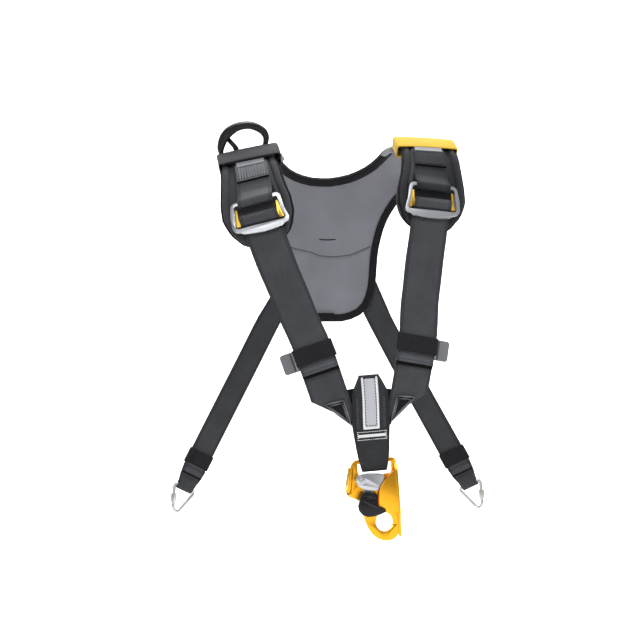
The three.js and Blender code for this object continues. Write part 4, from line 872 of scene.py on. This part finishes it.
# Bands: one woven tape round each shoulder top, grey on the right and yellow on the left,
# sewn closed on itself, with a black lining that shows as a fold at its ends.
grey_band = cloth_finish("grey_band", tint(64, 64, 67), thread=0.0012)
yellow_band = cloth_finish("yellow_band", tint(206, 166, 44), thread=0.0011, roughness=0.6)
soft_copy("right_shoulder_band", grey_band, soften=0.0005)
soft_copy("left_shoulder_band", yellow_band, soften=0.0005)
for side, edges, end, width in (
        ("right", right_pad_edges, "neck", 0.0070), ("right", right_pad_edges, "arm", 0.0030),
        ("left", left_pad_edges, "arm", 0.0030)):
    points, outs = [], []
    for i in range(7):
        neck, arm, across, out = pad_frame(edges, 1.15 + 1.75 * i / 6)
        points.append(neck - across * 0.0036 - out * 0.0040 if end == "neck"
                      else arm - across * 0.0006 - out * 0.0050)
        outs.append(out)
    fold = bmesh.new()
    add_cord(fold, points, outs, width, height=0.0070)
    made_piece(f"{side}_band_{end}_fold", fold, tape)


# Wing folds: the yoke's grey cloth rolled over at each wing's bare neck edge, where the
# binding stops short of the band. The folds are painted a lighter grey than the yoke, as
# a painted highlight.
lit_wing_cloth = cloth_finish("lit_wing_cloth", tint(140, 141, 146))
for side, spots in (
        ("right", ((-0.0655, -0.0090, -0.0013), (-0.0653, 0.0000, -0.0006),
                   (-0.0642, 0.0100, -0.0010), (-0.0618, 0.0200, -0.0025),
                   (-0.0600, 0.0255, -0.0040))),
        ("left", ((0.0653, -0.0090, 0.0060), (0.0648, 0.0000, 0.0067),
                  (0.0638, 0.0100, 0.0061), (0.0617, 0.0200, 0.0042),
                  (0.0600, 0.0255, 0.0026)))):
    fold = bmesh.new()
    add_cord(fold, spots, Vector((0, 0, 1)), width=0.0092, height=0.0066, taper=False)
    made_piece(f"{side}_wing_fold", fold, lit_wing_cloth, soften=0.0004)


# Label strip: a light strip sewn on the loop with black thread, with a white tape along
# both its sides and its lower end. It is bare of any print.
label_cloth = cloth_finish("label_cloth", tint(190, 190, 195), thread=0.0008, roughness=0.6)
soft_copy("label_strip", label_cloth, soften=0.0002)
white_tape = cloth_finish("white_tape", tint(232, 232, 234), thread=0.0008, roughness=0.6)
for name, start, end, half, shift in (
        ("inner", 0.2938, 0.3488, 0.0010, -0.0078), ("outer", 0.2938, 0.3488, 0.0010, 0.0078),
        ("low", 0.3472, 0.3494, 0.0088, 0.0)):
    made_piece(
        f"label_border_{name}",
        lay_cloth(loop_rows, start, end, half, out=-0.0013, wall=0.0005, steps=6, shift=shift),
        white_tape, soften=0.0001)
strip_top, strip_foot, strip_seam = 0.2945, 0.3458, 0.0060
threads = bmesh.new()
for across in (-strip_seam, strip_seam):
    strap_seam(threads, loop_rows, strip_top, strip_foot, across, out=-0.0012,
               pitch=0.0034, thick=0.0011)
cross_seam(threads, loop_rows, strip_foot, -strip_seam, strip_seam, out=-0.0012,
           pitch=0.0034, thick=0.0011)
made_piece("label_stitches", threads, black_thread)


# Buckles: a frame of polished steel rod with a flat lower bar, and an orange slider bar
# with two side arms that clamps the front strap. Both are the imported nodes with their
# edges broken.
def finish_node(node, finish, edge=0.0, angle=45):
    """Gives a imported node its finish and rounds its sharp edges."""
    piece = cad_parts[node]
    piece.data.materials.clear()
    piece.data.materials.append(finish.material)
    if edge:
        weld = piece.modifiers.new("weld", "WELD")
        weld.merge_threshold = 1e-6
        round_edges(piece, edge, 3, angle).harden_normals = True
    piece.data.shade_smooth()


def metal_finish(name, colour, roughness):
    """Metal with soft scuffs in its gloss."""
    metal = Finish(name, colour, roughness, metallic=1.0)
    scuffs = metal.noise(60.0)
    metal.feed("Roughness", scuffs * 0.1 + (roughness - 0.05))
    metal.bump(metal.noise(900.0, 2.0), 0.000002)
    return metal


polished = metal_finish("polished_steel", tint(178, 179, 182), 0.4)
orange = metal_finish("orange_slider", tint(255, 206, 84), 0.42)
for side in ("right", "left"):
    finish_node(f"{side}_buckle_frame", polished, edge=0.0011)
    finish_node(f"{side}_buckle_slider", orange, edge=0.0006)


# Screw links: bright steel wire bent to a triangle, closed by a threaded nut on its
# straight side. The strap's fold holds the link's short bar.
bright = metal_finish("bright_steel", tint(206, 207, 209), 0.3)
for side in ("right", "left"):
    finish_node(f"{side}_screw_link", bright)
    finish_node(f"{side}_link_nut", bright, edge=0.0004)


# Gear loop: a moulded black arch in a thin sleeve, with a strut and a base that the
# right band holds on the pad.
black_plastic = grained_finish(
    "black_plastic", tint(14, 14, 16), 0.34, 0.35, grain=700.0, depth=0.00004, detail=2.0)
finish_node("gear_loop", black_plastic, edge=0.0006, angle=35)
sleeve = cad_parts["gear_loop"].modifiers.new("sleeve", "DISPLACE")
sleeve.strength = 0.0007
sleeve.mid_level = 0.0


# Ascender: a plate of amber anodised alloy folded into a rope channel, with a toothed
# steel cam on an axle and a black moulded catch on the cam. The flap's rolled edge, the
# rivet under it, the axle's head and the catch's grip ridges are added. The rolled edge is
# painted pale amber as a painted highlight, and the grip ridges a lighter grey than the
# catch as a painted highlight.
amber = metal_finish("amber_alloy", tint(255, 182, 46), 0.26)
satin = metal_finish("satin_steel", tint(196, 197, 200), 0.3)
finish_node("ascender_frame", amber, edge=0.0005, angle=16)
finish_node("cam", satin, edge=0.0003, angle=16)
finish_node("cam_axle", satin, edge=0.0004, angle=35)
finish_node("catch", black_plastic, edge=0.0006, angle=20)
# Pale amber on the rolled edge is a painted highlight.
highlight_amber = metal_finish("highlight_amber", tint(255, 214, 120), 0.3)
rolled = bmesh.new()
add_cord(
    rolled, ((0.0022, -0.1317, -0.3465), (0.0004, -0.1317, -0.3560),
             (-0.0010, -0.1317, -0.3650), (-0.0024, -0.1317, -0.3720)),
    Vector((-0.3, -0.95, 0.05)), width=0.0046, height=0.0030, taper=False)
made_piece("rolled_edge", rolled, highlight_amber)
dark_steel = metal_finish("dark_steel", tint(70, 71, 74), 0.4)
for name, spot, size, finish in (
        ("flap_rivet", (-0.0002, -0.1327, -0.3745), 0.0034, dark_steel),
        ("axle_head", (0.01325, -0.1405, -0.3596), 0.0048, polished)):
    head = bmesh.new()
    bmesh.ops.create_uvsphere(
        head, u_segments=16, v_segments=8, radius=size / 2,
        matrix=Matrix.Translation(spot) @ Matrix.Diagonal((1, 0.45, 1, 1)))
    made_piece(name, head, finish)
front = Vector((0, -1, 0))
ridges = bmesh.new()
add_cord(
    ridges, ((0.0128, -0.1461, -0.3805), (0.0200, -0.1463, -0.3840),
             (0.0270, -0.1463, -0.3872), (0.0330, -0.1461, -0.3893)),
    front, width=0.0014, height=0.0012)
for z in (-0.3765, -0.3779, -0.3793):
    add_cord(
        ridges, ((0.0155, -0.1430, z), (0.0225, -0.1431, z + 0.0002),
                 (0.0295, -0.1430, z + 0.0004)),
        front, width=0.0008, height=0.0009)
# The ridges are painted a lighter grey than the black catch: painted highlight.
lit_ridge_plastic = grained_finish(
    "catch_ridge", tint(44, 45, 48), 0.3, 0.5, grain=700.0, depth=0.00003)
made_piece("catch_ridge", ridges, lit_ridge_plastic, "catch")


# Strap tabs: grey moulded plastic tongues that each keeper holds on its strap. Down the
# end that shows, a dark strip is painted shade standing for a groove, and a pale line is a
# painted highlight. Near corners are at the keeper.
grey_plastic = grained_finish(
    "grey_plastic", tint(108, 109, 112), 0.45, 0.5, grain=600.0, depth=0.00005, detail=2.0)
tab_highlight = grained_finish(
    "tab_highlight", tint(196, 197, 200), 0.4, 0.5, grain=700.0, depth=0.00004)
tab_groove_shade = grained_finish(
    "tab_groove_shade", tint(48, 49, 52), 0.5, 0.5, grain=700.0, depth=0.00004)
for side, near, far in (
        ("right", ((-0.0581, -0.1134, -0.2196), (-0.0509, -0.1170, -0.2410)),
         ((-0.0723, -0.1107, -0.2247), (-0.0652, -0.1143, -0.2461))),
        ("left", ((0.0985, -0.1134, -0.2073), (0.0947, -0.1170, -0.2296)),
         ((0.1134, -0.1107, -0.2101), (0.1096, -0.1143, -0.2323)))):
    finish_node(f"{side}_strap_tab", grey_plastic, edge=0.0005)
    near, far = [Vector(end) for end in near], [Vector(end) for end in far]
    out = front_normal(near[0], near[1], far[0])
    # The groove strip is painted shade and the line strip a painted highlight, both laid on
    # the tab.
    for name, share, width, finish in (
            ("groove", 0.34, 0.0013, tab_groove_shade), ("line", 0.17, 0.0011, tab_highlight)):
        top, foot = (a.lerp(b, share) for a, b in zip(near, far))
        path = [top.lerp(foot, part) + 0.0001 * out for part in (0.06, 0.5, 0.94)]
        strip = bmesh.new()
        add_cord(strip, path, out, width, height=0.0008, taper=False)
        made_piece(f"{side}_tab_{name}", strip, finish)
